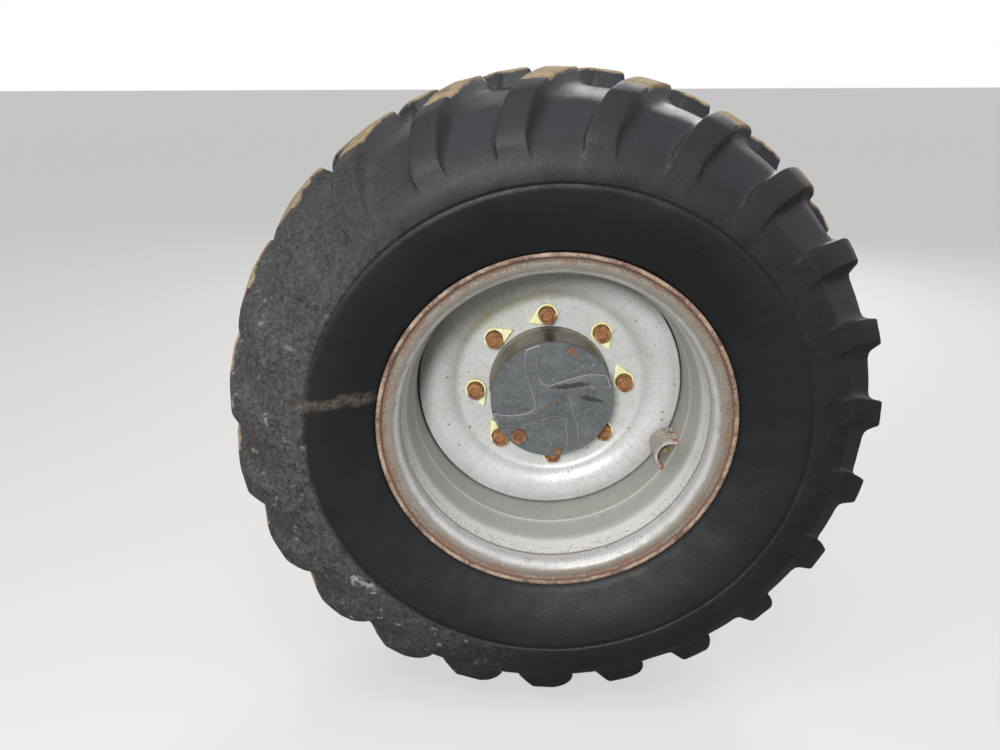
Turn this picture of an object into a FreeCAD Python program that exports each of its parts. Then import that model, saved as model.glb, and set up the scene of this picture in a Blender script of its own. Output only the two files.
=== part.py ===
# Front wheel of a site dumper: lugged tyre on a semi-drop-centre rim with a dished disc, bolted to a
# planetary hub that turns on a stub axle.
#
# Frame: millimetres, origin at the middle of the stub axle's inboard flange face. The wheel's axle is
# the Y axis with the outer side of the wheel towards -Y, X points forward and Z points up.
import FreeCAD, Part
import Sketcher
import math
import os
import re

doc = FreeCAD.newDocument("site_dumper_wheel")

# Driving dimensions: alias, value, meaning; a value that starts with = follows from others
SIZES = [
    ("wheel_offset", 242.0, "axle flange face to the wheel's centre plane"),
    ("seat_span", 280.0, "rim width between the flanges"),
    ("rim_wall", 8.0, "rim plate"),
    ("seat_radius", 257.0, "bead seat, outer radius"),
    ("seat_length", 24.0, "length of each bead seat"),
    ("flange_rise", 11.0, "straight part of a rim flange over its bead seat"),
    ("curl_radius", 16.3, "rounding of a rim flange to its lip, tyre side"),
    ("curl_turn", 78.3, "turn of that rounding, degrees"),
    ("curl_root", "=seat_radius + flange_rise", "radius where a rim flange starts to curl"),
    ("lip_radius", "=curl_root + curl_radius * sin(curl_turn)", "rim flange, outer radius"),
    ("lip_width", "=seat_span + 2 * curl_radius * (1 - cos(curl_turn))", "rim width over both lips"),
    ("well_radius", 243.0, "rim well, outer radius"),
    ("well_out", 37.0, "centre plane to the well's outer end"),
    ("well_in", 68.0, "centre plane to the well's inner end"),
    ("corner_radius", 18.0, "rounding between flange and bead seat, air side"),
    ("disc_wall", 14.0, "wheel disc plate"),
    ("disc_bore", 107.5, "wheel disc centre hole radius"),
    ("disc_flat", 156.0, "outer radius of the disc's nut face"),
    ("dish_root", 20.0, "hollow rounding outside the nut face"),
    ("dish_crown", 48.4, "crown rounding of the dish"),
    ("crown_turn", 26.5, "turn of the crown beyond its highest place, degrees"),
    ("disc_skirt", 22.0, "length of the skirt that is welded in the well"),
    ("mount_depth", 186.0, "axle flange face to the face that carries the disc"),
    ("bolt_circle", 132.5, "wheel bolt circle radius"),
    ("bolt_count", 8, "wheel bolts"),
    ("bolt_phase", -3.0, "angle of the first bolt from the top, degrees"),
    ("stud_radius", 9.0, "wheel stud radius"),
    ("stud_head", 13.0, "wheel stud head radius"),
    ("head_height", 7.0, "wheel stud head height"),
    ("stud_sink", 3.0, "depth of the stud's end inside its nut"),
    ("hole_gap", 1.0, "play of a stud in the disc's hole"),
    ("nut_across", 27.0, "wheel nut across its flats"),
    ("nut_height", 24.0, "wheel nut height"),
    ("nut_collar", 17.0, "radius of the collar at the nut's foot"),
    ("collar_height", 5.0, "height of that collar"),
    ("ring_radius", 18.5, "nut indicator ring radius"),
    ("ring_height", 4.0, "nut indicator thickness"),
    ("pointer_reach", 36.0, "nut centre to the indicator's tip"),
    ("fit_gap", 0.2, "gap of pieces that sit in one another"),
    ("hub_flange", 155.0, "hub flange radius"),
    ("flange_plate", 20.0, "hub flange thickness"),
    ("drum_radius", 104.0, "hub drum radius outside the disc"),
    ("drum_front", 269.0, "axle flange face to the drum's outer end"),
    ("pilot_length", 17.0, "length of the hub's centring step"),
    ("hub_neck", 108.0, "hub radius behind its flange"),
    ("hub_tail", 96.0, "hub radius at its inner end"),
    ("hub_back", 84.0, "axle flange face to the hub's inner end"),
    ("gear_bore", 88.0, "radius of the gear space in the drum"),
    ("gear_depth", 80.0, "depth of the gear space"),
    ("cover_radius", 105.0, "hub cover radius"),
    ("cover_plate", 12.0, "hub cover thickness"),
    ("relief_depth", 2.5, "depth of the four hollows in the cover"),
    ("plug_radius", 13.0, "oil plug radius"),
    ("plug_height", 6.0, "oil plug height above the cover"),
    ("plug_circle", 87.0, "oil plug centre from the axle"),
    ("socket_across", 12.0, "oil plug socket across its flats"),
    ("screw_radius", 5.0, "cover screw head radius"),
    ("screw_circle", 96.0, "cover screw centre from the axle"),
    ("axle_flange", 125.0, "stub axle flange radius"),
    ("axle_plate", 22.0, "stub axle flange thickness"),
    ("axle_circle", 105.0, "stub axle bolt circle radius"),
    ("axle_bolts", 10, "stub axle bolt holes"),
    ("axle_hole", 9.0, "stub axle bolt hole radius"),
    ("axle_boss", 80.0, "stub axle boss radius at the flange"),
    ("boss_end", 70.0, "stub axle boss radius at its shoulder"),
    ("shoulder_depth", 76.0, "axle flange face to the shoulder"),
    ("journal_radius", 55.0, "stub axle journal radius"),
    ("journal_gap", 0.3, "running gap between hub and journal"),
    ("journal_end", 204.0, "axle flange face to the journal's end"),
    ("shaft_bore", 27.0, "half shaft bore radius"),
    ("pilot_bore", 70.0, "radius of the recess in the axle flange"),
    ("pilot_depth", 8.0, "depth of that recess"),
    ("seal_radius", 75.0, "shaft seal radius"),
    ("seal_length", 11.0, "shaft seal length"),
    ("seal_proud", 3.0, "length of seal outside the hub"),
    ("tread_radius", 538.0, "tyre radius over the lugs"),
    ("shoulder_fall", 27.0, "fall of the tread from its middle to the lugs' shoulders"),
    ("lug_height", 27.0, "height of a lug at the middle of the tread"),
    ("base_drop", 22.0, "fall of the surface between the lugs to the shoulder"),
    ("side_bulge", 62.5, "side wall beyond the rim's bead seat, at the widest place"),
    ("tyre_height", "=tread_radius - seat_radius", "tyre section height"),
    ("shoulder_radius", "=tread_radius - shoulder_fall", "tyre radius at the lugs' shoulders"),
    ("base_radius", "=tread_radius - lug_height", "radius between the lugs, at the middle"),
    ("section_half", "=seat_span / 2 + side_bulge", "half of the tyre's section width"),
    ("tread_half", "=0.74 * section_half", "half of the tread's width"),
    ("section_radius", "=seat_radius + 0.51 * tyre_height", "radius where the tyre is widest"),
    ("side_wall", 14.0, "tyre side wall"),
    ("tread_wall", 20.0, "tyre wall under the tread"),
    ("lug_count", 23, "lugs in each row"),
    ("lug_width", 48.0, "lug width along the tread"),
    ("lug_skew", 68.0, "shift of a lug's inner end along the tread"),
    ("lug_foot", "=seat_radius + 0.65 * tyre_height", "radius where a lug ends on the side wall"),
    ("lug_phase", 7.7, "angle of the first outer lug from the top, degrees"),
    ("lug_taper", 7.0, "slope of a lug's sides, degrees"),
    ("guard_radius", 28.0, "valve guard radius"),
    ("guard_wall", 5.0, "valve guard plate"),
    ("guard_length", 60.0, "valve guard length"),
    ("guard_gap", 26.0, "nut face to the guard's inner end"),
    ("guard_depth", "=mount_depth + disc_wall + guard_gap", "axle flange face to that end"),
    ("valve_angle", 116.5, "valve angle from the top, degrees"),
    ("valve_radius", 4.5, "valve stem radius"),
    ("valve_length", 34.0, "valve stem length"),
    ("valve_base", 9.0, "distance of the stem's middle from the well"),
]

sheet = doc.addObject("Spreadsheet::Sheet", "Sizes")
for row, (alias, number, meaning) in enumerate(SIZES, start=1):
    sheet.set("A%d" % row, meaning)
    sheet.set("B%d" % row, str(number))
    sheet.setAlias("B%d" % row, alias)
doc.recompute()
ALIASES = {alias for alias, number, meaning in SIZES}


def bound(text):
    """The formula with each alias read from the sheet."""
    def cell(match):
        word = match.group(0)
        return "Sizes." + word if word in ALIASES else word
    return re.sub(r"[a-z][a-z_]*", cell, str(text))


def value(text):
    """The formula's number at the sheet's present sizes."""
    number = sheet.evalExpression(bound(text))
    return float(getattr(number, "Value", number))


def new_body(label):
    body = doc.addObject("PartDesign::Body", label)
    body.Label = label
    return body


def origin_feature(body, role):
    for feature in body.Origin.OriginFeatures:
        if feature.Role == role:
            return feature


def new_sketch(body, name, role, lift=None, roll=None):
    """An empty sketch on one of the body's own origin planes, lifted off it by a formula.

    With roll, which is for the XY plane, the lifted sketch is also carried round the axle.
    """
    sketch = body.newObject("Sketcher::SketchObject", name)
    sketch.AttachmentSupport = [(origin_feature(body, role), "")]
    sketch.MapMode = "FlatFace"
    if roll is not None:
        sketch.AttachmentOffset = FreeCAD.Placement(
            FreeCAD.Vector(0, 0, 0), FreeCAD.Rotation(FreeCAD.Vector(0, 1, 0), 1.0))
        sketch.setExpression("AttachmentOffset.Rotation.Angle", bound(roll))
        sketch.setExpression("AttachmentOffset.Base.x", bound("(%s) * sin(%s)" % (lift, roll)))
        sketch.setExpression("AttachmentOffset.Base.z", bound("(%s) * cos(%s)" % (lift, roll)))
    elif lift is not None:
        sketch.setExpression("AttachmentOffset.Base.z", bound(lift))
    return sketch


def tie(sketch, kind, places, formula):
    """A dimension of the sketch that follows a formula."""
    index = sketch.addConstraint(Sketcher.Constraint(kind, *places, value(formula)))
    sketch.setExpression("Constraints[%d]" % index, bound(formula))


def arc_between(start, end, radius):
    """Arc from start to end: turns left for a radius over 0 and right for one below 0."""
    chord = end - start
    half = chord.Length / 2.0
    side = 1.0 if radius > 0 else -1.0
    rise = math.sqrt(max(radius * radius - half * half, 0.0))
    across = FreeCAD.Vector(-chord.y, chord.x, 0).normalize()
    centre = (start + end) * 0.5 + across * side * rise
    first, last = (start, end) if radius > 0 else (end, start)
    angles = [math.atan2(spot.y - centre.y, spot.x - centre.x) for spot in (first, last)]
    circle = Part.Circle(centre, FreeCAD.Vector(0, 0, 1), abs(radius))
    return Part.ArcOfCircle(circle, angles[0], angles[1])


def outline(sketch, points):
    """Closed outline. A point is (across, up), or (across, up, radius) where an arc leads on from it."""
    spots = [FreeCAD.Vector(value(point[0]), value(point[1]), 0) for point in points]
    first = sketch.GeometryCount
    heads = []
    for number, point in enumerate(points):
        start = spots[number]
        end = spots[(number + 1) % len(points)]
        if len(point) == 3:
            radius = value(point[2])
            sketch.addGeometry(arc_between(start, end, radius), False)
            heads.append((1, 2) if radius > 0 else (2, 1))
        else:
            sketch.addGeometry(Part.LineSegment(start, end), False)
            heads.append((1, 2))
    for number, point in enumerate(points):
        following = (number + 1) % len(points)
        here, there = first + number, first + following
        sketch.addConstraint(Sketcher.Constraint(
            "Coincident", here, heads[number][1], there, heads[following][0]))
        tie(sketch, "DistanceX", (-1, 1, here, heads[number][0]), point[0])
        tie(sketch, "DistanceY", (-1, 1, here, heads[number][0]), point[1])
        if len(point) == 3:
            tie(sketch, "Radius", (here,), "abs(%s)" % point[2])
    return sketch


def ring(sketch, across, up, radius):
    """A full circle."""
    centre = FreeCAD.Vector(value(across), value(up), 0)
    number = sketch.addGeometry(Part.Circle(centre, FreeCAD.Vector(0, 0, 1), value(radius)), False)
    tie(sketch, "DistanceX", (-1, 1, number, 3), across)
    tie(sketch, "DistanceY", (-1, 1, number, 3), up)
    tie(sketch, "Radius", (number,), radius)
    return sketch


def hexagon(sketch, across, up, flats):
    """A hexagon with two corners on the sketch's horizontal, by its width across flats."""
    corner = "(%s) / 2 / cos(30)" % flats
    points = []
    for step in range(6):
        points.append(("(%s) + %s * cos(%d)" % (across, corner, 60 * step),
                       "(%s) + %s * sin(%d)" % (up, corner, 60 * step)))
    return outline(sketch, points)


def finish_feature(body, feature):
    body.Tip = feature
    return feature


def spun(body, name, sketch, kind="PartDesign::Revolution"):
    """A full turn about the axle, which is the horizontal of every sketch on the YZ plane."""
    feature = body.newObject(kind, name)
    feature.Profile = sketch
    feature.ReferenceAxis = (sketch, ["H_Axis"])
    feature.Angle = 360.0
    return finish_feature(body, feature)


def pad(body, name, sketch, length, reverse=False):
    feature = body.newObject("PartDesign::Pad", name)
    feature.Profile = sketch
    feature.setExpression("Length", bound(length))
    feature.Reversed = reverse
    return finish_feature(body, feature)


def pocket(body, name, sketch, length, reverse=False):
    feature = body.newObject("PartDesign::Pocket", name)
    feature.Profile = sketch
    feature.setExpression("Length", bound(length))
    feature.Reversed = reverse
    return finish_feature(body, feature)


def round_the_axle(body, name, originals, count):
    """Copies of the features, evenly round the axle."""
    pattern = body.newObject("PartDesign::PolarPattern", name)
    pattern.Originals = originals
    pattern.Axis = (origin_feature(body, "Y_Axis"), [""])
    pattern.Angle = 360.0
    pattern.setExpression("Occurrences", bound(count))
    return finish_feature(body, pattern)


def turn_about_axle(body, degrees):
    """Turns the whole body clockwise from the top, as seen from outside."""
    body.Placement = FreeCAD.Placement(
        FreeCAD.Vector(0, 0, 0), FreeCAD.Rotation(FreeCAD.Vector(0, 1, 0), degrees))


# Stub axle: bolt flange, boss, journal and the half shaft's bore
stub_axle = new_body("stub_axle")
outline(new_sketch(stub_axle, "axle_section", "YZ_Plane"), [
    ("-pilot_depth", "shaft_bore"),
    ("-pilot_depth", "pilot_bore"),
    ("0", "pilot_bore"),
    ("0", "axle_flange"),
    ("-axle_plate", "axle_flange"),
    ("-axle_plate", "axle_boss + 6"),
    ("-axle_plate - 6", "axle_boss"),
    ("-shoulder_depth", "boss_end"),
    ("-shoulder_depth", "journal_radius"),
    ("-journal_end + 4", "journal_radius"),
    ("-journal_end", "journal_radius - 4"),
    ("-journal_end", "shaft_bore"),
])
spun(stub_axle, "axle_turned", doc.getObject("axle_section"))
ring(new_sketch(stub_axle, "axle_hole_sketch", "XZ_Plane"), "0", "axle_circle", "axle_hole")
axle_hole = pocket(stub_axle, "axle_hole_cut", doc.getObject("axle_hole_sketch"), "axle_plate", True)
round_the_axle(stub_axle, "axle_holes", [axle_hole], "axle_bolts")

# Shaft seal, which turns with the hub
shaft_seal = new_body("shaft_seal")
outline(new_sketch(shaft_seal, "seal_section", "YZ_Plane"), [
    ("-hub_back + seal_proud", "journal_radius + journal_gap"),
    ("-hub_back + seal_proud", "seal_radius - fit_gap"),
    ("-hub_back + seal_proud - seal_length", "seal_radius - fit_gap"),
    ("-hub_back + seal_proud - seal_length", "journal_radius + journal_gap"),
])
spun(shaft_seal, "seal_turned", doc.getObject("seal_section"))

# Hub drum: inner neck, bolt flange, centring step and the drum that shows through the disc
hub_drum = new_body("hub_drum")
outline(new_sketch(hub_drum, "hub_section", "YZ_Plane"), [
    ("-hub_back", "seal_radius"),
    ("-hub_back", "hub_tail - 8"),
    ("-hub_back - 8", "hub_tail"),
    ("-mount_depth + flange_plate + 8", "hub_neck"),
    ("-mount_depth + flange_plate", "hub_neck + 8"),
    ("-mount_depth + flange_plate", "hub_flange - 3"),
    ("-mount_depth + flange_plate - 3", "hub_flange"),
    ("-mount_depth", "hub_flange"),
    ("-mount_depth", "disc_bore - fit_gap"),
    ("-mount_depth - pilot_length", "disc_bore - fit_gap"),
    ("-mount_depth - pilot_length - 3", "drum_radius"),
    ("-drum_front", "drum_radius"),
    ("-drum_front", "gear_bore"),
    ("-drum_front + gear_depth", "gear_bore"),
    ("-drum_front + gear_depth", "journal_radius + journal_gap"),
    ("-hub_back + seal_proud - seal_length", "journal_radius + journal_gap"),
    ("-hub_back + seal_proud - seal_length", "seal_radius"),
])
spun(hub_drum, "hub_turned", doc.getObject("hub_section"))
ring(new_sketch(hub_drum, "hub_hole_sketch", "XZ_Plane", lift="mount_depth - flange_plate"),
     "bolt_circle * sin(bolt_phase)", "bolt_circle * cos(bolt_phase)", "stud_radius")
hub_hole = pocket(hub_drum, "hub_hole_cut", doc.getObject("hub_hole_sketch"), "flange_plate", True)
round_the_axle(hub_drum, "hub_holes", [hub_hole], "bolt_count")

# Hub cover: four hollows leave a cross of curved arms, with a seat for the oil plug
COVER_FACE = "drum_front + cover_plate"
hub_cover = new_body("hub_cover")
outline(new_sketch(hub_cover, "cover_section", "YZ_Plane"), [
    ("-drum_front", "0"),
    ("-drum_front", "cover_radius"),
    ("-(%s) + 3" % COVER_FACE, "cover_radius"),
    ("-(%s)" % COVER_FACE, "cover_radius - 3"),
    ("-(%s)" % COVER_FACE, "0"),
])
spun(hub_cover, "cover_turned", doc.getObject("cover_section"))
# One hollow as a share of the cover's radius: the edge of the arm that points up, the rounded inner
# corner, then the edge of the arm that points forward
outline(new_sketch(hub_cover, "hollow_sketch", "XZ_Plane", lift=COVER_FACE), [
    ("-0.15 * cover_radius", "1.1 * cover_radius", "0.9 * cover_radius"),
    ("-0.214 * cover_radius", "0.42 * cover_radius", "0.17 * cover_radius"),
    ("-0.02 * cover_radius", "0.28 * cover_radius"),
    ("0.4 * cover_radius", "0.42 * cover_radius", "-0.9 * cover_radius"),
    ("1.05 * cover_radius", "0.37 * cover_radius"),
    ("1.05 * cover_radius", "1.1 * cover_radius"),
])
hollow = pocket(hub_cover, "hollow_cut", doc.getObject("hollow_sketch"), "relief_depth")
round_the_axle(hub_cover, "hollows", [hollow], "4")

# Oil plug and cover screws: label, angle from the top, radius, circle, height above the face, socket
FASTENERS = [
    ("oil_plug", 221.0, "plug_radius", "plug_circle", "plug_height", "socket_across"),
    ("cover_screw_1", 18.0, "screw_radius", "screw_circle", "1.5", "0.9 * screw_radius"),
    ("cover_screw_2", 173.0, "screw_radius", "screw_circle", "1.5", "0.9 * screw_radius"),
]
for label, angle, radius, circle, height, socket in FASTENERS:
    seat = new_sketch(hub_cover, label + "_seat", "XZ_Plane", lift=COVER_FACE)
    ring(seat, "(%s) * sin(%s)" % (circle, angle), "(%s) * cos(%s)" % (circle, angle), radius)
    pocket(hub_cover, label + "_seat_cut", seat, "relief_depth + 2")
    plug = new_body(label)
    disc = new_sketch(plug, label + "_disc", "XZ_Plane", lift="%s - relief_depth - 2" % COVER_FACE)
    ring(disc, "0", circle, "%s - fit_gap" % radius)
    pad(plug, label + "_pad", disc, "relief_depth + 2 + %s" % height)
    drive = new_sketch(plug, label + "_drive", "XZ_Plane", lift="%s + %s" % (COVER_FACE, height))
    hexagon(drive, "0", circle, socket)
    pocket(plug, label + "_socket", drive, "0.8 * (%s) + 1" % height)
    turn_about_axle(plug, angle)

# Wheel disc: nut face, hollow, crown and the skirt welded in the rim's well
NUT_FACE = "-mount_depth - disc_wall"
CROWN_ACROSS = "%s - dish_root + 0.7071 * (dish_root + dish_crown)" % NUT_FACE
CROWN_UP = "disc_flat + 0.7071 * (dish_root + dish_crown)"


def dish_side(plate):
    """One side of the dish from the nut face outwards, in short steps: the hollow, then the crown."""
    rows = []
    for turn in ("0", "22.5", "45"):
        rows.append(("%s - dish_root + (dish_root + %s) * cos(%s)" % (NUT_FACE, plate, turn),
                     "disc_flat + (dish_root + %s) * sin(%s)" % (plate, turn)))
    for turn in ("-22", "2", "crown_turn"):
        rows.append(("%s - (dish_crown - %s) * cos(%s)" % (CROWN_ACROSS, plate, turn),
                     "%s + (dish_crown - %s) * sin(%s)" % (CROWN_UP, plate, turn)))
    return rows


front = dish_side("0")
edge = front[-1][0]
wheel_disc = new_body("wheel_disc")
outline(new_sketch(wheel_disc, "disc_section", "YZ_Plane"), [
    ("-mount_depth", "disc_bore"),
] + dish_side("disc_wall") + [
    ("%s + disc_skirt - 12" % NUT_FACE, "well_radius - rim_wall - disc_wall"),
    ("%s + disc_skirt" % NUT_FACE, "well_radius - rim_wall - disc_wall"),
    ("%s + disc_skirt" % NUT_FACE, "well_radius - rim_wall"),
    ("%s + 8" % edge, "well_radius - rim_wall"),
    ("%s + 2.8" % edge, "well_radius - rim_wall - 2.8"),
] + list(reversed(front)) + [
    (NUT_FACE, "disc_bore"),
])
spun(wheel_disc, "disc_turned", doc.getObject("disc_section"))
ring(new_sketch(wheel_disc, "disc_hole_sketch", "XZ_Plane", lift="mount_depth"),
     "bolt_circle * sin(bolt_phase)", "bolt_circle * cos(bolt_phase)", "stud_radius + hole_gap")
disc_hole = pocket(wheel_disc, "disc_hole_cut", doc.getObject("disc_hole_sketch"), "disc_wall", True)
round_the_axle(wheel_disc, "disc_holes", [disc_hole], "bolt_count")


def rim_half(side, well):
    """Half a rim from its well to its lip on the tyre side, then back on the air side."""
    rows = [
        ("%s - 2" % well, "well_radius"),
        ("seat_span / 2 - seat_length", "seat_radius - 1"),
        ("seat_span / 2", "seat_radius"),
    ]
    for turn in ("0", "26", "52", "curl_turn"):
        rows.append(("seat_span / 2 + curl_radius * (1 - cos(%s))" % turn,
                     "curl_root + curl_radius * sin(%s)" % turn))
    for turn in ("curl_turn - 12", "0.5 * (curl_turn - 12)", "0"):
        rows.append(("seat_span / 2 + curl_radius - (curl_radius - rim_wall) * cos(%s)" % turn,
                     "curl_root + (curl_radius - rim_wall) * sin(%s)" % turn))
    for turn in (0, 30, 60, 90):
        rows.append(("seat_span / 2 + rim_wall - corner_radius * (1 - cos(%d))" % turn,
                     "seat_radius - rim_wall + corner_radius * (1 - sin(%d))" % turn))
    rows += [
        ("seat_span / 2 - seat_length", "seat_radius - rim_wall"),
        ("%s + 2" % well, "well_radius - rim_wall"),
    ]
    return [("-wheel_offset %s (%s)" % (side, across), up) for across, up in rows]


# Wheel rim: flanges with curled lips, bead seats and the shallow well
wheel_rim = new_body("wheel_rim")
outline(new_sketch(wheel_rim, "rim_section", "YZ_Plane"),
        rim_half("-", "well_out") + list(reversed(rim_half("+", "well_in"))))
spun(wheel_rim, "rim_turned", doc.getObject("rim_section"))

# Valve guard, a half tube welded in the rim's well, over the valve
valve_guard = new_body("valve_guard")
WELL_FACE = "well_radius - rim_wall"
OUTER_FOOT = "sqrt((%s) ^ 2 - guard_radius ^ 2) - 0.1" % WELL_FACE
INNER_FOOT = "sqrt((%s) ^ 2 - (guard_radius - guard_wall) ^ 2) - 0.1" % WELL_FACE
outline(new_sketch(valve_guard, "guard_section", "XZ_Plane", lift="guard_depth"), [
    ("guard_radius", OUTER_FOOT),
    ("guard_radius", "%s - 6" % WELL_FACE, "-1.02 * guard_radius"),
    ("-guard_radius", "%s - 6" % WELL_FACE),
    ("-guard_radius", OUTER_FOOT),
    ("-guard_radius + guard_wall", INNER_FOOT),
    ("-guard_radius + guard_wall", "%s - 6" % WELL_FACE, "1.02 * (guard_radius - guard_wall)"),
    ("guard_radius - guard_wall", "%s - 6" % WELL_FACE),
    ("guard_radius - guard_wall", INNER_FOOT),
])
pad(valve_guard, "guard_pad", doc.getObject("guard_section"), "guard_length")
turn_about_axle(valve_guard, value("valve_angle"))

# Valve: a round base on the well and a stem that runs outwards under the guard
valve_stem = new_body("valve_stem")
STEM_AXIS = "%s - valve_base" % WELL_FACE
foot = new_sketch(valve_stem, "valve_base_sketch", "XY_Plane", lift="%s - valve_radius - 1.5" % STEM_AXIS)
ring(foot, "0", "-guard_depth - valve_base", "0.8 * valve_base")
pad(valve_stem, "valve_base_pad", foot, "valve_base + valve_radius + 1.5 - 2 * fit_gap")
ring(new_sketch(valve_stem, "stem_section", "XZ_Plane", lift="guard_depth + valve_base"),
     "0", STEM_AXIS, "valve_radius")
pad(valve_stem, "stem_pad", doc.getObject("stem_section"), "valve_length")
turn_about_axle(valve_stem, value("valve_angle"))

# Tyre: one turned carcass, two rows of lugs trimmed to the tread's outline, then the air space
tyre = new_body("tyre")


def tyre_side(side, rows):
    """Places of one tyre half, from rows of (distance from the middle, radius)."""
    return [("-wheel_offset %s (%s)" % (side, across), up) for across, up in rows]


SIDE_FALL = "(section_radius - lip_radius)"
CARCASS = [
    ("tread_half - 12", "base_radius - base_drop"),
    ("section_half - 9", "lug_foot"),
    ("section_half", "section_radius"),
    ("section_half - 11", "section_radius - 0.48 * %s" % SIDE_FALL),
    ("lip_width / 2 + 5", "lip_radius + 6.5"),
    ("seat_span / 2 - fit_gap", "curl_root + 0.54 * curl_radius"),
    ("seat_span / 2 - fit_gap", "seat_radius + fit_gap"),
    ("seat_span / 2 - seat_length - 8", "seat_radius + fit_gap"),
]
left = tyre_side("-", CARCASS)
right = tyre_side("+", CARCASS)
outline(new_sketch(tyre, "carcass_section", "YZ_Plane"),
        [("-wheel_offset", "base_radius")] + left + list(reversed(right)))
spun(tyre, "carcass_turned", doc.getObject("carcass_section"))
# A lug in plan: from the shoulder straight in, then slanted to the middle of the tread
for name, side, roll in (("outer", "-", "lug_phase"), ("inner", "+", "lug_phase + 180 / lug_count")):
    plan = [
        ("-lug_width / 2", "-wheel_offset %s (section_half + 20)" % side),
        ("lug_width / 2", "-wheel_offset %s (section_half + 20)" % side),
        ("lug_width / 2 + 3", "-wheel_offset %s (0.62 * tread_half)" % side),
        ("lug_width / 2 + lug_skew", "-wheel_offset %s (6)" % side),
        ("-lug_width / 2 + lug_skew", "-wheel_offset %s (6)" % side),
        ("-lug_width / 2 - 3", "-wheel_offset %s (0.62 * tread_half)" % side),
    ]
    flat = new_sketch(tyre, name + "_lug_plan", "XY_Plane", lift="tread_radius + 2", roll=roll)
    outline(flat, plan)
    lug = pad(tyre, name + "_lug", flat, "tread_radius + 2 - lug_foot", True)
    lug.setExpression("TaperAngle", bound("lug_taper"))
    lug_row = round_the_axle(tyre, name + "_lugs", [lug], "lug_count")
# Outside of the lugs: everything beyond this line is cut away in one turn
TRIM = [
    ("0.66 * tread_half", "tread_radius - 0.36 * shoulder_fall"),
    ("1.04 * tread_half", "shoulder_radius - 5"),
    ("section_half - 3", "lug_foot + 16"),
    ("section_half - 8", "lug_foot - 9"),
    ("section_half + 70", "lug_foot - 9"),
    ("section_half + 70", "tread_radius + 30"),
]
left = tyre_side("-", TRIM)
right = tyre_side("+", TRIM)
outline(new_sketch(tyre, "trim_section", "YZ_Plane"),
        [("-wheel_offset", "tread_radius")] + left + list(reversed(right)))
spun(tyre, "lugs_trimmed", doc.getObject("trim_section"), "PartDesign::Groove")
AIR_SPACE = [
    ("tread_half - 20", "base_radius - base_drop - 0.7 * tread_wall"),
    ("section_half - side_wall", "section_radius"),
    ("seat_span / 2 - seat_length - 8", "seat_radius + fit_gap - 1"),
]
left = tyre_side("-", AIR_SPACE)
right = tyre_side("+", AIR_SPACE)
outline(new_sketch(tyre, "air_section", "YZ_Plane"), left + list(reversed(right)))
spun(tyre, "air_space", doc.getObject("air_section"), "PartDesign::Groove")

# Wheel studs, nuts and their indicators: the side that each indicator's pointer is on
POINTER_SIDES = [-1, 1, -1, 1, -1, 1, -1, 1]
NUT_FOOT = "mount_depth + disc_wall"
for number, pointer_side in enumerate(POINTER_SIDES, start=1):
    angle = value("bolt_phase + 360 / bolt_count * %d" % (number - 1))

    stud = new_body("wheel_stud_%d" % number)
    head = new_sketch(stud, "stud_head_%d" % number, "XZ_Plane",
                      lift="mount_depth - flange_plate - head_height")
    ring(head, "0", "bolt_circle", "stud_head")
    pad(stud, "stud_head_pad_%d" % number, head, "head_height")
    shank = new_sketch(stud, "stud_shank_%d" % number, "XZ_Plane", lift="mount_depth - flange_plate - 1")
    ring(shank, "0", "bolt_circle", "stud_radius - fit_gap")
    pad(stud, "stud_shank_pad_%d" % number, shank,
        "flange_plate + disc_wall + nut_height - stud_sink + 1")
    turn_about_axle(stud, angle)

    nut = new_body("wheel_nut_%d" % number)
    foot = new_sketch(nut, "nut_foot_%d" % number, "XZ_Plane", lift=NUT_FOOT)
    ring(foot, "0", "bolt_circle", "nut_collar")
    pad(nut, "nut_foot_pad_%d" % number, foot, "collar_height")
    grip = new_sketch(nut, "nut_grip_%d" % number, "XZ_Plane", lift=NUT_FOOT)
    hexagon(grip, "0", "bolt_circle", "nut_across")
    pad(nut, "nut_grip_pad_%d" % number, grip, "nut_height")
    thread = new_sketch(nut, "nut_thread_%d" % number, "XZ_Plane", lift=NUT_FOOT)
    ring(thread, "0", "bolt_circle", "stud_radius")
    pocket(nut, "nut_thread_cut_%d" % number, thread, "nut_height + 1", True)
    turn_about_axle(nut, angle)

    marker = new_body("nut_indicator_%d" % number)
    shape = new_sketch(marker, "indicator_plan_%d" % number, "XZ_Plane",
                       lift="%s + collar_height + fit_gap" % NUT_FOOT)
    tip = ("%d * pointer_reach * cos(22.5)" % pointer_side, "bolt_circle - pointer_reach * sin(22.5)")
    swing = "acos(ring_radius / pointer_reach) / 1 deg"
    upper = "(%s)" % ("-22.5 + %s" % swing)
    lower = "(%s)" % ("-22.5 - %s" % swing)
    points = []
    for edge in (lower, upper) if pointer_side > 0 else (upper, lower):
        points.append(("%d * ring_radius * cos%s" % (pointer_side, edge),
                       "bolt_circle + ring_radius * sin%s" % edge))
    outline(shape, [tip, points[1], points[0]])
    pad(marker, "indicator_pointer_%d" % number, shape, "ring_height")
    collar = new_sketch(marker, "indicator_ring_%d" % number, "XZ_Plane",
                        lift="%s + collar_height + fit_gap" % NUT_FOOT)
    ring(collar, "0", "bolt_circle", "ring_radius")
    pad(marker, "indicator_ring_pad_%d" % number, collar, "ring_height")
    gap = new_sketch(marker, "indicator_gap_%d" % number, "XZ_Plane",
                     lift="%s + collar_height" % NUT_FOOT)
    hexagon(gap, "0", "bolt_circle", "nut_across + 2 * fit_gap")
    pocket(marker, "indicator_gap_cut_%d" % number, gap, "ring_height + 5", True)
    turn_about_axle(marker, angle)

doc.recompute()

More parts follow.
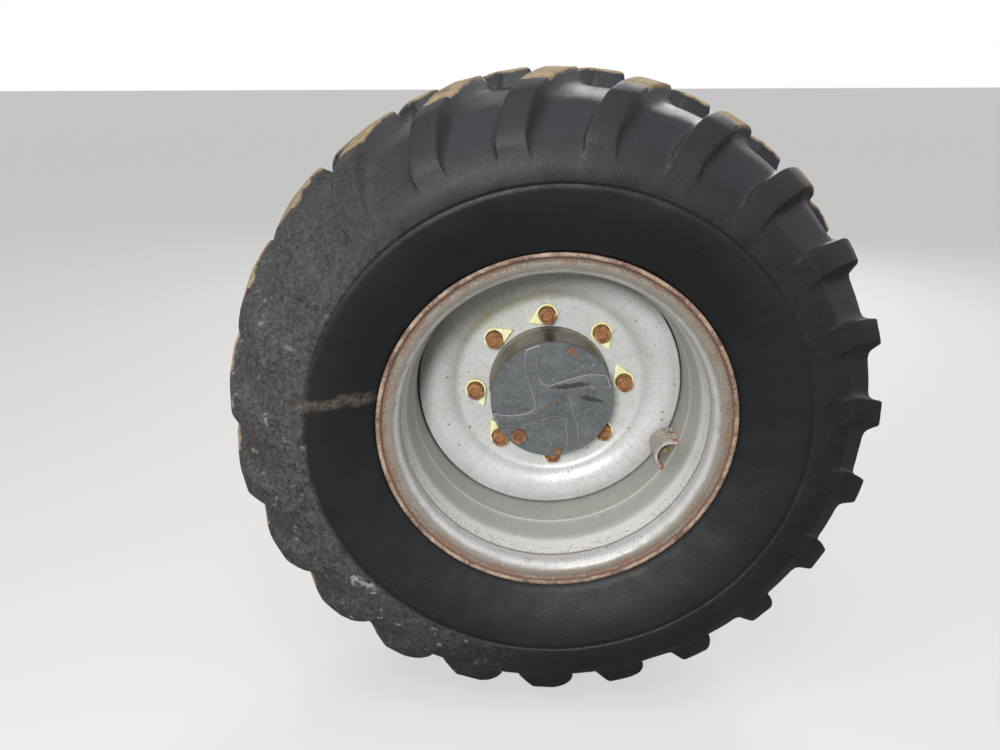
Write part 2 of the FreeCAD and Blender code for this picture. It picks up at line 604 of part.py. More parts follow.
faults = 0
for item in doc.Objects:
    if {"Invalid", "Error"} & set(item.State):
        print("fault:", item.Name, item.State, item.getStatusString())
        faults += 1
os.makedirs("parts", exist_ok=True)
for body in doc.Objects:
    if body.TypeId != "PartDesign::Body":
        continue
    shape = body.Shape
    if shape.isNull() or not shape.isValid() or shape.Volume <= 0:
        print("bad shape:", body.Label)
        faults += 1
        continue
    shape.exportStep("parts/%s.step" % body.Label)
print("pieces", sum(1 for item in doc.Objects if item.TypeId == "PartDesign::Body"), "faults", faults)
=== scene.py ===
# %% [markdown]
# # The front wheel of a site dumper
#
# A site dumper runs on large wheels with lugs that bite into mud. This lesson dresses one of them: a
# lugged tyre on a steel rim, a dished disc held by eight nuts, and the hub with its cover on a stub axle.
#
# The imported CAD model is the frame. It gives the size and place of each piece, and each new piece is
# modelled to those sizes. Shapes are drawn in millimetres, because a wheel is drawn that way, and MM
# turns them into metres. Masks of materials are written in metres, as Blender's nodes read them.

# %% Load the frame
import bpy
import math
from mathutils import Matrix, Vector


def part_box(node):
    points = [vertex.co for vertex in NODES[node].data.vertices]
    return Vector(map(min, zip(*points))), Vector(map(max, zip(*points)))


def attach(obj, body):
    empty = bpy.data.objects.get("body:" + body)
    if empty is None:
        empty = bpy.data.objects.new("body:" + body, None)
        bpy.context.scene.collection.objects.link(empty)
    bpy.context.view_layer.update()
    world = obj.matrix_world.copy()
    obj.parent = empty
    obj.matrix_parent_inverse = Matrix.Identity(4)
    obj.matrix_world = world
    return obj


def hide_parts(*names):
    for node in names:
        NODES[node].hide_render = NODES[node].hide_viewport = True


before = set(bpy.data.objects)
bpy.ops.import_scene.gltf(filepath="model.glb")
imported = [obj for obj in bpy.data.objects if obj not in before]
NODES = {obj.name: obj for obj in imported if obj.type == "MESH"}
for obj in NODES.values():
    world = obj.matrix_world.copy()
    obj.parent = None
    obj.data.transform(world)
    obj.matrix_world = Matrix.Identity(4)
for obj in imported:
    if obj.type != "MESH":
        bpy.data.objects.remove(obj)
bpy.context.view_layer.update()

MM = 0.001
print("CAD nodes:", len(NODES))

# %% [markdown]
# ## Camera, floor and light
#
# The photograph was taken standing up, a little over a metre and a half from the wheel's outer face and
# slightly to its left, looking down by about twenty-one degrees. The numbers come from fitting a camera
# to the round edges and the eight nuts. A camera looks along its own -Z with +Y up, so its three axes
# are written as the columns of a matrix, which is easier to follow than three turns in a row.
#
# A pale floor and a white world stand round the wheel. The stronger lamp is in front at the upper left,
# so that the rim's edge shades a crescent of the disc, as in the photograph. A wide soft one overhead
# fills the rest, and one behind lights the hub's back for views from there.

# %% Camera
CAMERA_PLACE = Vector((-94.4, -1592.0, 548.5)) * MM
CAMERA_YAW = math.radians(0.245)
CAMERA_PITCH = math.radians(20.9)
CAMERA_ROLL = math.radians(0.205)
FOCAL_SHARE = 832.9 / 1000.0
SENSOR = 36.0

ahead = Vector((math.sin(CAMERA_YAW) * math.cos(CAMERA_PITCH),
                math.cos(CAMERA_YAW) * math.cos(CAMERA_PITCH), -math.sin(CAMERA_PITCH)))
level = Vector((math.cos(CAMERA_YAW), -math.sin(CAMERA_YAW), 0.0))
down = ahead.cross(level)
right = level * math.cos(CAMERA_ROLL) + down * math.sin(CAMERA_ROLL)
up = level * math.sin(CAMERA_ROLL) - down * math.cos(CAMERA_ROLL)

bpy.ops.object.select_all(action="DESELECT")
bpy.ops.object.camera_add()
camera = bpy.context.object
camera.name = "camera"
camera.matrix_world = Matrix((
    (right.x, up.x, -ahead.x, CAMERA_PLACE.x),
    (right.y, up.y, -ahead.y, CAMERA_PLACE.y),
    (right.z, up.z, -ahead.z, CAMERA_PLACE.z),
    (0.0, 0.0, 0.0, 1.0)))
camera.data.sensor_width = SENSOR
camera.data.lens = SENSOR * FOCAL_SHARE
bpy.context.scene.camera = camera
print("lens", round(camera.data.lens, 2), "mm")

# %% [markdown]
# Every material below is a tree of nodes. `put` adds one node, sets its choices and fills its inputs
# with numbers, colours or the sockets that feed them, so that a tree reads from the first effect to the
# shader. `mixed` lays one colour or number over another through a mask, and `span` stretches a part of
# a value's range to a mask.

# %% Node helpers
def fill(tree, node, inputs):
    """Fills a node's inputs with numbers and colours, or links the sockets that feed them."""
    for key, source in inputs.items():
        if isinstance(source, bpy.types.NodeSocket):
            tree.links.new(source, node.inputs[key])
        else:
            node.inputs[key].default_value = source


def put(tree, kind, inputs=None, **choices):
    """A new node with its choices set and its inputs filled."""
    node = tree.nodes.new(kind)
    for key, choice in choices.items():
        setattr(node, key, choice)
    fill(tree, node, inputs or {})
    return node


def worked_out(tree, operation, first, second=0.5, third=0.5):
    """One step of arithmetic."""
    inputs = {0: first, 1: second, 2: third}
    return put(tree, "ShaderNodeMath", inputs, operation=operation).outputs[0]


def times(tree, first, *others):
    """The product of masks or numbers."""
    for other in others:
        first = worked_out(tree, "MULTIPLY", first, other)
    return first


def span(tree, value, low, high, start=0.0, end=1.0, smooth=False):
    """Runs from start to end while the value runs from low to high."""
    inputs = {"Value": value, "From Min": low, "From Max": high, "To Min": start, "To Max": end}
    curve = "SMOOTHSTEP" if smooth else "LINEAR"
    return put(tree, "ShaderNodeMapRange", inputs, interpolation_type=curve).outputs[0]


def noise(tree, place, scale, detail, roughness=0.5):
    """Cloudy values around a half."""
    inputs = {"Vector": place, "Scale": scale, "Detail": detail, "Roughness": roughness}
    return put(tree, "ShaderNodeTexNoise", inputs).outputs[0]


def mixed(tree, mask, below, above, share=1.0):
    """The upper colour or number over the lower one, as far as the mask and its share say."""
    if share < 1.0:
        mask = times(tree, mask, share)
    linked = isinstance(below, bpy.types.NodeSocket) and below.type == "RGBA"
    if linked or isinstance(below, tuple) or isinstance(above, tuple):
        pair = [tone + (1.0,) if isinstance(tone, tuple) else tone for tone in (below, above)]
        inputs = {0: mask, 6: pair[0], 7: pair[1]}
        return put(tree, "ShaderNodeMix", inputs, data_type="RGBA").outputs[2]
    return put(tree, "ShaderNodeMix", {0: mask, 2: below, 3: above}).outputs[0]


def roughened(tree, shader, height, strength, distance):
    """Small bumps in the surface."""
    inputs = {"Height": height, "Strength": strength, "Distance": distance}
    fill(tree, shader, {"Normal": put(tree, "ShaderNodeBump", inputs).outputs[0]})


def new_material(name):
    """A material with its shader, and the piece's own coordinates."""
    material = bpy.data.materials.new(name)
    material.use_nodes = True
    tree = material.node_tree
    tree.nodes.clear()
    shader = put(tree, "ShaderNodeBsdfPrincipled")
    put(tree, "ShaderNodeOutputMaterial", {"Surface": shader.outputs[0]})
    place = put(tree, "ShaderNodeTexCoord").outputs["Object"]
    return material, tree, shader, place


# %% Floor and world
FLOOR_SIZE = 60.0
FLOOR_PALE = (0.36, 0.358, 0.352)
FLOOR_LIGHT = (1.0, 0.995, 0.985, 1.0)
FLOOR_GLOW = 0.45
FLOOR_BOUNCE = (0.20, 0.19, 0.17)
SKY = (0.95, 0.97, 1.0, 1.0)
SKY_STRENGTH = 0.20
WHITE = (1.0, 1.0, 1.0, 1.0)

tyre_low, tyre_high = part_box("tyre")
bpy.ops.object.select_all(action="DESELECT")
bpy.ops.mesh.primitive_plane_add(size=FLOOR_SIZE, location=(0.0, 0.0, tyre_low[2]))
floor = bpy.context.object
floor.name = "floor"
floor_paint, tree, shader, place = new_material("floor_pale")
seen = put(tree, "ShaderNodeLightPath").outputs["Is Camera Ray"]
fill(tree, shader, {
    "Base Color": mixed(tree, seen, FLOOR_BOUNCE, FLOOR_PALE), "Roughness": 0.9,
    "Specular IOR Level": 0.1, "Emission Color": FLOOR_LIGHT,
    "Emission Strength": times(tree, seen, FLOOR_GLOW)})
floor.data.materials.append(floor_paint)

world = bpy.context.scene.world or bpy.data.worlds.new("world")
bpy.context.scene.world = world
world.use_nodes = True
tree = world.node_tree
tree.nodes.clear()
path = put(tree, "ShaderNodeLightPath").outputs
white = worked_out(tree, "MAXIMUM", path["Is Glossy Ray"], path["Is Transmission Ray"])
white = worked_out(tree, "MAXIMUM", path["Is Camera Ray"], white)
soft_sky = put(tree, "ShaderNodeBackground", {"Color": SKY, "Strength": SKY_STRENGTH})
backdrop = put(tree, "ShaderNodeBackground", {"Color": WHITE, "Strength": 1.0})
sky = put(tree, "ShaderNodeMixShader", {0: white, 1: soft_sky.outputs[0], 2: backdrop.outputs[0]})
put(tree, "ShaderNodeOutputWorld", {"Surface": sky.outputs[0]})
print("floor at", round(tyre_low[2], 4), "m")

# %% Lamps
LAMPS = [
    # name, place, aims at, size, power
    ("overhead", (-0.5, -1.5, 3.1), (0.0, -0.3, -0.1), 2.4, 42.0),
    ("front", (-0.62, -3.3, 1.42), (0.0, -0.3, 0.0), 0.6, 116.0),
    ("back", (0.9, 3.0, 1.5), (0.0, -0.2, 0.0), 1.5, 62.0),
]
for name, spot, target, size, power in LAMPS:
    bpy.ops.object.select_all(action="DESELECT")
    bpy.ops.object.light_add(type="AREA", location=spot)
    lamp = bpy.context.object
    lamp.name = "lamp_" + name
    lamp.rotation_euler = (Vector(target) - Vector(spot)).to_track_quat("-Z", "Y").to_euler()
    lamp.data.size = size
    lamp.data.energy = power
bpy.context.scene.view_settings.view_transform = "Standard"
print("lamps:", len(LAMPS))

# %% [markdown]
# ## Shared effects
#
# A wheel weathers in rings: its lip loses paint, its seat edge rusts, its shoulder gathers dust. So the
# first group turns a point into its distance from the axle, its depth along the axle and its turn round
# it. The others make masks: a band with a ragged edge, soft patches, and small specks. Groups hold only
# masks and colours, and each material passes its own sizes.

# %% Node groups
def effect_group(name, takes, gives):
    """A group with named inputs (title, kind, value) and outputs (title, kind)."""
    group = bpy.data.node_groups.new(name, "ShaderNodeTree")
    for title, kind, start in takes:
        socket = group.interface.new_socket(title, in_out="INPUT", socket_type="NodeSocket" + kind)
        if start is not None:
            socket.default_value = start
    for title, kind in gives:
        group.interface.new_socket(title, in_out="OUTPUT", socket_type="NodeSocket" + kind)
    return group, put(group, "NodeGroupInput").outputs, put(group, "NodeGroupOutput")


def placed(tree, group, inputs):
    """The outputs of a group that is set in a tree with its inputs filled."""
    return put(tree, "ShaderNodeGroup", inputs, node_tree=group).outputs


AXLE_PLACE, given, made = effect_group(
    "axle_place", [("Vector", "Vector", None)],
    [("Radius", "Float"), ("Depth", "Float"), ("Turn", "Float"), ("Around", "Vector")])
split = put(AXLE_PLACE, "ShaderNodeSeparateXYZ", {0: given["Vector"]}).outputs
flat = put(AXLE_PLACE, "ShaderNodeCombineXYZ", {0: split["X"], 1: 0.0, 2: split["Z"]}).outputs[0]
radius = put(AXLE_PLACE, "ShaderNodeVectorMath", {0: flat}, operation="LENGTH").outputs["Value"]
turn = worked_out(AXLE_PLACE, "ARCTAN2", split["X"], split["Z"])
around = put(AXLE_PLACE, "ShaderNodeCombineXYZ", {0: turn, 1: split["Y"], 2: radius}).outputs[0]
fill(AXLE_PLACE, made, {"Radius": radius, "Depth": split["Y"], "Turn": turn, "Around": around})

RAGGED_BAND, given, made = effect_group(
    "ragged_band",
    [("Value", "Float", 0.0), ("Vector", "Vector", None), ("From", "Float", 0.0), ("To", "Float", 1.0),
     ("Soft", "Float", 0.002), ("Ragged", "Float", 0.0), ("Scale", "Float", 60.0)],
    [("Mask", "Float")])
waver = worked_out(RAGGED_BAND, "SUBTRACT", noise(RAGGED_BAND, given["Vector"], given["Scale"], 4.0), 0.5)
moved = worked_out(RAGGED_BAND, "ADD", given["Value"], times(RAGGED_BAND, waver, given["Ragged"]))
edges = []
for bound, start, end in (("From", 0.0, 1.0), ("To", 1.0, 0.0)):
    low = worked_out(RAGGED_BAND, "SUBTRACT", given[bound], given["Soft"])
    high = worked_out(RAGGED_BAND, "ADD", given[bound], given["Soft"])
    edges.append(span(RAGGED_BAND, moved, low, high, start, end, smooth=True))
fill(RAGGED_BAND, made, {"Mask": times(RAGGED_BAND, *edges)})

PATCHES, given, made = effect_group(
    "patches",
    [("Vector", "Vector", None), ("Scale", "Float", 20.0), ("Share", "Float", 0.5),
     ("Soft", "Float", 0.08)],
    [("Mask", "Float")])
grain = noise(PATCHES, given["Vector"], given["Scale"], 6.0, 0.62)
limit = span(PATCHES, given["Share"], 0.0, 1.0, 0.72, 0.28)
low = worked_out(PATCHES, "SUBTRACT", limit, given["Soft"])
high = worked_out(PATCHES, "ADD", limit, given["Soft"])
fill(PATCHES, made, {"Mask": span(PATCHES, grain, low, high, smooth=True)})

SPECKS, given, made = effect_group(
    "specks",
    [("Vector", "Vector", None), ("Scale", "Float", 200.0), ("Size", "Float", 0.25),
     ("Share", "Float", 0.3)],
    [("Mask", "Float")])
cells = put(SPECKS, "ShaderNodeTexVoronoi", {"Vector": given["Vector"], "Scale": given["Scale"]}).outputs
dot = span(SPECKS, cells["Distance"], times(SPECKS, given["Size"], 0.6), given["Size"], 1.0, 0.0)
draw = put(SPECKS, "ShaderNodeSeparateColor", {0: cells["Color"]}).outputs[0]
chosen = worked_out(SPECKS, "LESS_THAN", draw, given["Share"])
fill(SPECKS, made, {"Mask": times(SPECKS, dot, chosen)})

RUST, given, made = effect_group(
    "rust", [("Vector", "Vector", None), ("Scale", "Float", 60.0)],
    [("Color", "Color"), ("Height", "Float")])
grain = noise(RUST, given["Vector"], given["Scale"], 8.0, 0.7)
ramp = put(RUST, "ShaderNodeValToRGB", {0: grain})
RUST_TONES = [(0.30, (0.075, 0.032, 0.017)), (0.45, (0.25, 0.105, 0.040)),
              (0.57, (0.38, 0.175, 0.073)), (0.70, (0.52, 0.32, 0.18))]
for number, (stop, tone) in enumerate(RUST_TONES):
    mark = ramp.color_ramp.elements[number] if number < 2 else ramp.color_ramp.elements.new(stop)
    mark.position = stop
    mark.color = tone + (1.0,)
fill(RUST, made, {"Color": ramp.outputs[0], "Height": grain})
print("groups:", len(bpy.data.node_groups))

# %% [markdown]
# Each group gets a short call. Scales count grains per metre, shares say how much of the surface is
# covered, and the softness and raggedness of a band are lengths like its edges.

# %% Effects in a material
MIDDLE = (tyre_low[1] + tyre_high[1]) / 2.0
# stand for an edge that a band doesn't have
NO_START = -1.0
NO_END = 0.70


def patches(tree, place, scale, share, soft):
    """Soft patches."""
    return placed(tree, PATCHES, {"Vector": place, "Scale": scale, "Share": share, "Soft": soft})[0]


def specks(tree, place, scale, size, share):
    """Small round specks: the size is a share of their spacing."""
    return placed(tree, SPECKS, {"Vector": place, "Scale": scale, "Size": size, "Share": share})[0]


def band(tree, place, value, low, high, soft, ragged, scale=60.0):
    """A ragged band where the value lies between low and high."""
    return placed(tree, RAGGED_BAND, {
        "Value": value, "Vector": place, "From": low, "To": high, "Soft": soft, "Ragged": ragged,
        "Scale": scale})[0]


def off_middle(tree, ring):
    """Distance from the wheel's middle, along the axle."""
    return worked_out(tree, "ABSOLUTE", worked_out(tree, "SUBTRACT", ring["Depth"], MIDDLE))


def facing(tree, ring, degrees, low, high, start=0.0, end=1.0):
    """A soft mask for one side of the wheel, found in degrees from the top towards the left."""
    angle = worked_out(tree, "ADD", ring["Turn"], math.radians(degrees))
    return span(tree, worked_out(tree, "COSINE", angle), low, high, start, end, smooth=True)


print("middle of the tyre", round(MIDDLE / MM, 1))

# %% [markdown]
# ## Drawing a section and turning it
#
# Rim, disc, tyre and cover are turned about the axle. Each starts as a section: one vertex is extruded
# from point to point in the plane of the axle, and the line is then spun round it. A point with a radius
# starts an arc, as in the CAD source, and the arc becomes short steps.

# %% Section helpers
AXLE = {"center": (0.0, 0.0, 0.0), "axis": (0.0, 1.0, 0.0)}


def arc_steps(start, end, radius, step):
    """Points of the arc after start, up to end: it turns left for a radius over 0."""
    chord = end - start
    side = 1.0 if radius > 0.0 else -1.0
    rise = math.sqrt(max(radius * radius - (chord.length / 2.0) ** 2, 0.0))
    centre = (start + end) / 2.0 + Vector((-chord.y, chord.x)).normalized() * side * rise
    reach = start - centre
    sweep = 2.0 * math.asin(min(chord.length / 2.0 / abs(radius), 1.0)) * side
    count = max(3, round(abs(sweep * radius) / step))
    spots = []
    for number in range(1, count + 1):
        angle = sweep * number / count
        spots.append(centre + Vector((reach.x * math.cos(angle) - reach.y * math.sin(angle),
                                      reach.x * math.sin(angle) + reach.y * math.cos(angle))))
    return spots


def section_points(rows, step):
    """(depth, radius) points of a closed section with its arcs stepped."""
    spots = []
    for number, row in enumerate(rows):
        start = Vector(row[:2])
        end = Vector(rows[(number + 1) % len(rows)][:2])
        spots.append(start)
        if len(row) == 3:
            spots.extend(arc_steps(start, end, row[2], step)[:-1])
    return spots


def start_from(name, kind, **place):
    """A primitive, added with nothing else selected."""
    bpy.ops.object.select_all(action="DESELECT")
    getattr(bpy.ops.mesh, "primitive_%s_add" % kind)(**place)
    piece = bpy.context.object
    piece.name = name
    piece.data.name = name
    return piece


def draw_line(name, spots, angle=0.0):
    """A line of edges through (depth, radius) points, drawn in edit mode by extruding one vertex."""
    places = [Vector((radius * math.sin(angle), depth, radius * math.cos(angle))) * MM
              for depth, radius in spots]
    piece = start_from(name, "plane", size=MM, location=places[0])
    bpy.ops.object.mode_set(mode="EDIT")
    bpy.ops.mesh.select_all(action="SELECT")
    bpy.ops.mesh.merge(type="CENTER")
    for before, after in zip(places, places[1:]):
        bpy.ops.mesh.extrude_region_move(TRANSFORM_OT_translate={"value": after - before})
    return piece


# %% Finishing helpers
DOUBLED = 2e-6


def close_mesh(doubled=DOUBLED):
    """Merges doubled points of the piece in edit mode and points its faces outwards."""
    bpy.ops.mesh.select_all(action="SELECT")
    bpy.ops.mesh.remove_doubles(threshold=doubled)
    bpy.ops.mesh.normals_make_consistent(inside=False)


def apply_place():
    """Writes the place of the selected piece into its mesh."""
    bpy.ops.object.mode_set(mode="OBJECT")
    bpy.ops.object.transform_apply(location=True, rotation=True, scale=True)


def settle(piece, smooth=35.0):
    """Leaves edit mode, applies the place to the mesh and smooths all edges that are blunt enough."""
    apply_place()
    bpy.ops.object.shade_smooth_by_angle(angle=math.radians(smooth))
    print(piece.name, "faces", len(piece.data.polygons))
    return piece


def turned(name, rows, step=1.6, steps=160):
    """A closed section turned once round the axle."""
    spots = section_points(rows, step)
    piece = draw_line(name, spots + spots[:1])
    bpy.ops.mesh.select_all(action="SELECT")
    bpy.ops.mesh.spin(steps=steps, angle=math.tau, **AXLE)
    close_mesh()
    return settle(piece)


def rounded(piece, width, blunt):
    """Rounds the edges that are sharper than the blunt angle."""
    bpy.ops.object.mode_set(mode="OBJECT")
    round_off = piece.modifiers.new("round_off", "BEVEL")
    round_off.width = width * MM
    round_off.segments = 2
    round_off.angle_limit = math.radians(blunt)
    bpy.ops.object.modifier_apply(modifier=round_off.name)


def swollen(piece, name, grain, depth, strength, mid_level):
    """Moves the surface in and out by cloudy noise of the given grain."""
    clouds = bpy.data.textures.new(name, "CLOUDS")
    clouds.noise_scale = grain
    clouds.noise_depth = depth
    swell = piece.modifiers.new(name, "DISPLACE")
    swell.texture = clouds
    swell.texture_coords = "LOCAL"
    swell.strength = strength * MM
    swell.mid_level = mid_level
    bpy.context.view_layer.objects.active = piece
    bpy.ops.object.modifier_apply(modifier=swell.name)


def wear(piece, material, body, node):
    """Gives the piece its material and the body that it moves with, and hides the node that it stands
    for.
    """
    piece.data.materials.clear()
    piece.data.materials.append(material)
    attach(piece, body)
    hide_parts(node)


# %% [markdown]
# ## Wheel paint
#
# Rim and disc are sprayed the same silver grey. Years of use leave fine dark specks, brown stains where
# water stands, and streaks that run across the rim. One function makes both finishes, and the rim adds
# its worn lip and the stain at the edge of the bead seat. Some rings are painted light and shade: a
# highlight on the bead seat and on the kink at the well's edge, shade on the slope to the seat, shade
# with dirt in the gutter and in the well beside the disc, and a shaded line at the disc's edge.

# %% Silver paint
SILVER = (0.585, 0.597, 0.59)
SILVER_SHADE = (0.455, 0.455, 0.435)
STREAK = (0.36, 0.32, 0.26)
STAIN = (0.15, 0.085, 0.045)
SOOT = (0.060, 0.052, 0.044)
# streaks are narrow round the rim and long across it
ACROSS_RIM = (26.0, 2.0, 2.0)
PAINT_ROUGHNESS = 0.42
PAINT_METALLIC = 0.14
BARE_ROUGHNESS = 0.88


def silver_base(name, speck_share):
    """Mottled silver paint with specks and streaks: returns its tree and the colour so far."""
    material, tree, shader, place = new_material(name)
    ring = placed(tree, AXLE_PLACE, {"Vector": place})
    colour = mixed(tree, patches(tree, place, 14.0, 0.5, 0.25), SILVER, SILVER_SHADE, share=0.45)
    stretched = put(tree, "ShaderNodeVectorMath", {0: ring["Around"], 1: ACROSS_RIM},
                    operation="MULTIPLY").outputs[0]
    colour = mixed(tree, patches(tree, stretched, 1.0, 0.3, 0.16), colour, STREAK, share=0.25)
    crowd = worked_out(tree, "MULTIPLY_ADD", patches(tree, place, 9.0, 0.55, 0.12), 0.7, 0.2)
    dots = times(tree, specks(tree, place, 330.0, 0.36, speck_share), crowd)
    colour = mixed(tree, dots, colour, SOOT)
    colour = mixed(tree, specks(tree, place, 55.0, 0.16, 0.16), colour, STAIN, share=0.75)
    return material, tree, shader, place, ring, colour


def finish_paint(tree, shader, place, colour, bare, roughness=PAINT_ROUGHNESS, metallic=PAINT_METALLIC):
    """Connects a painted surface: bare marks the rusty share, which is rough and not metallic."""
    fine = noise(tree, place, 420.0, 3.0)
    gloss = worked_out(tree, "MULTIPLY_ADD", fine, 0.14, roughness - 0.07)
    fill(tree, shader, {"Base Color": colour, "Roughness": mixed(tree, bare, gloss, BARE_ROUGHNESS),
                        "Metallic": mixed(tree, bare, metallic, 0.0)})
    crusted = times(tree, noise(tree, place, 160.0, 6.0), bare)
    height = worked_out(tree, "ADD", crusted, times(tree, fine, 0.12))
    roughened(tree, shader, height, 0.5, 0.0012)


# %% Rim paint
# from, to, softness and raggedness by distance from the rim's middle, then share and tone
RIM_RINGS = [
    (NO_START, 0.036, 0.004, 0.006, 0.60, (0.26, 0.245, 0.21)),  # dirt, with painted shade, in the well beside the disc
    (0.088, 0.1225, 0.006, 0.004, 0.70, (0.84, 0.84, 0.82)),     # bead seat: painted highlight, lighter all round
    (0.1035, 0.1255, 0.006, 0.016, 0.80, (0.12, 0.08, 0.05)),    # grit at the seat's end
    (0.041, 0.082, 0.012, 0.006, 0.65, (0.34, 0.33, 0.30)),      # slope to the seat: painted shade, darker all round
    (0.0365, 0.0405, 0.0012, 0.002, 0.45, (0.85, 0.84, 0.80)),   # kink at the well's edge: a painted highlight line
    (0.1235, 0.1275, 0.0012, 0.004, 0.75, STAIN),                # brown line where water stands
]
# the one ring that is broken up into grains
GRIT_RING = 2
GUTTER_DIRT_AND_SHADE = (0.20, 0.175, 0.14)
CHIP_DARK = (0.085, 0.040, 0.024)
CHIP_LIGHT = (0.27, 0.145, 0.085)
LIP_DARK = (0.115, 0.058, 0.036)
LIP_LIGHT = (0.45, 0.345, 0.26)
LIP_LINES = [(0.2750, 0.2780), (0.2837, NO_END)]
LINE_RUST = (0.10, 0.048, 0.030)

rim_paint, tree, shader, place, ring, colour = silver_base("rim_paint", 0.55)
from_middle = off_middle(tree, ring)
grit = specks(tree, place, 300.0, 0.40, 0.60)
for number, (low, high, soft, ragged, share, tone) in enumerate(RIM_RINGS):
    mask = band(tree, place, from_middle, low, high, soft, ragged)
    if number == GRIT_RING:
        mask = times(tree, mask, grit)
    colour = mixed(tree, mask, colour, tone, share)

# gutter inside the lip: beige-grey dirt, darkened further as painted shade
gutter = band(tree, place, ring["Radius"], 0.256, NO_END, 0.004, 0.006)
colour = mixed(tree, gutter, colour, GUTTER_DIRT_AND_SHADE, share=0.88)
lip_dots = noise(tree, place, 300.0, 5.0, 0.7)
lip_patch = noise(tree, place, 38.0, 4.0)
near_lip = worked_out(tree, "MULTIPLY_ADD", span(tree, ring["Radius"], 0.254, 0.276), 0.30, -0.24)
crust = worked_out(tree, "MULTIPLY_ADD", lip_patch, 0.5, near_lip)
chipped = span(tree, worked_out(tree, "ADD", lip_dots, crust), 0.67, 0.80)
bare = times(tree, chipped, worked_out(tree, "GREATER_THAN", ring["Radius"], 0.2535))
colour = mixed(tree, bare, colour, mixed(tree, lip_patch, CHIP_DARK, CHIP_LIGHT), share=0.85)
lip = band(tree, place, ring["Radius"], 0.2770, NO_END, 0.0012, 0.003, 80.0)
worn = span(tree, worked_out(tree, "MULTIPLY_ADD", lip_patch, 0.9, lip_dots), 0.78, 1.12)
colour = mixed(tree, lip, colour, mixed(tree, worn, LIP_DARK, LIP_LIGHT), share=0.92)
for low, high in LIP_LINES:
    line = band(tree, place, ring["Radius"], low, high, 0.0008, 0.004, 90.0)
    colour = mixed(tree, line, colour, LINE_RUST, share=0.75)
    bare = worked_out(tree, "MAXIMUM", bare, line)
finish_paint(tree, shader, place, colour, bare)
print("rim nodes", len(tree.nodes))

# %% Disc paint
TEA_STAIN = (0.40, 0.39, 0.17)
SEAM_SHADE = (0.022, 0.017, 0.014)

disc_paint, tree, shader, place, ring, colour = silver_base("disc_paint", 0.30)
tea = band(tree, place, ring["Radius"], 0.158, 0.178, 0.007, 0.045, 22.0)
tea = times(tree, tea, facing(tree, ring, 28.0, 0.72, 0.97))
colour = mixed(tree, tea, colour, TEA_STAIN, share=0.42)
# painted shade: a dark line along the disc's outer edge, where the gap to the rim lies in shadow
seam = band(tree, place, ring["Radius"], 0.2322, 0.25, 0.0008, 0.002)
colour = mixed(tree, seam, colour, SEAM_SHADE)
finish_paint(tree, shader, place, colour, times(tree, seam, 0.8))
print("disc nodes", len(tree.nodes))

# %% [markdown]
# ## Rim
#
# The rim is one rolled ring of plate: a shallow well, a bead seat on each side and a flange whose lip
# curls outwards. It could be bent from a sheet, but its section never changes, so the section is drawn
# once and spun. Rounding the lip's corners in the section rounds them all the way round.

# %% Rim
SEAT_SPAN = 150.0
SEAT_LENGTH = 30.0
LIP_OUT = 163.0
LIP_R = 285.5
PLATE = 8.0
CURL = 16.3
CURL_R = 268.0
SEAT_R = 257.0
WELL_R = 243.0
WELL_OUTER = 37.0
WELL_INNER = 68.0
CORNER = 18.0
LIP_ROUND = 3.4
middle = MIDDLE / MM


def rim_side(sign, well):
    """Half a rim section, from the well to the lip on the tyre's side and back on the air side."""
    rows = [
        (well - 2.0, WELL_R),
        (SEAT_SPAN - SEAT_LENGTH, SEAT_R - 1.0),
        (SEAT_SPAN, SEAT_R),
        (SEAT_SPAN, CURL_R, CURL),
        (LIP_OUT - LIP_ROUND * 0.3, LIP_R - LIP_ROUND * 0.3),
        (LIP_OUT, LIP_R - LIP_ROUND),
        (LIP_OUT, LIP_R - PLATE + LIP_ROUND * 0.7),
        (LIP_OUT - 0.8, LIP_R - PLATE + 0.6, -(CURL - PLATE)),
        (SEAT_SPAN + PLATE, CURL_R),
        (SEAT_SPAN + PLATE, SEAT_R - PLATE + CORNER, CORNER),
        (SEAT_SPAN + PLATE - CORNER, SEAT_R - PLATE),
        (SEAT_SPAN - SEAT_LENGTH, SEAT_R - PLATE),
        (well + 2.0, WELL_R - PLATE),
    ]
    return [(middle - sign * row[0], row[1]) + tuple(sign * arc for arc in row[2:]) for row in rows]


outer = rim_side(1.0, WELL_OUTER)
inner = rim_side(-1.0, WELL_INNER)
# walked backwards, an arc belongs to the point at its other end and turns the other way
mirrored = []
for number in range(len(inner) - 1, -1, -1):
    arc = inner[number - 1][2:] if number else ()
    mirrored.append(inner[number][:2] + tuple(-bend for bend in arc))
rim = turned("rolled_rim", outer + mirrored)
wear(rim, rim_paint, "wheel", "wheel_rim")

# %% [markdown]
# ## Disc
#
# The disc is pressed from thick plate: a flat face for the nuts, a hollow round it, a broad crown and a
# skirt that is welded in the well. It is turned like the rim. The holes under the nuts don't show, so the
# face is left whole apart from the centre hole.

# %% Disc
MOUNT = 186.0
WALL = 14.0
FACE = -(MOUNT + WALL)
DISC_BORE = 107.5
CHAMFER = 1.0
FLAT = 156.0
ROOT = 20.0
CROWN = 48.4
RISE = 15.0
CREST = FACE - RISE
EDGE = 226.0
SKIRT_R = WELL_R - PLATE
SKIRT_END = FACE + 22.0
SKIRT_GAP = 0.3
SKIRT_BEND = 9.5
HALF = math.sqrt(0.5)
# how far the wall's inner side lies back and in at the crest, as shares of its thickness
CREST_BACK = 0.8946
CREST_IN = 0.4483

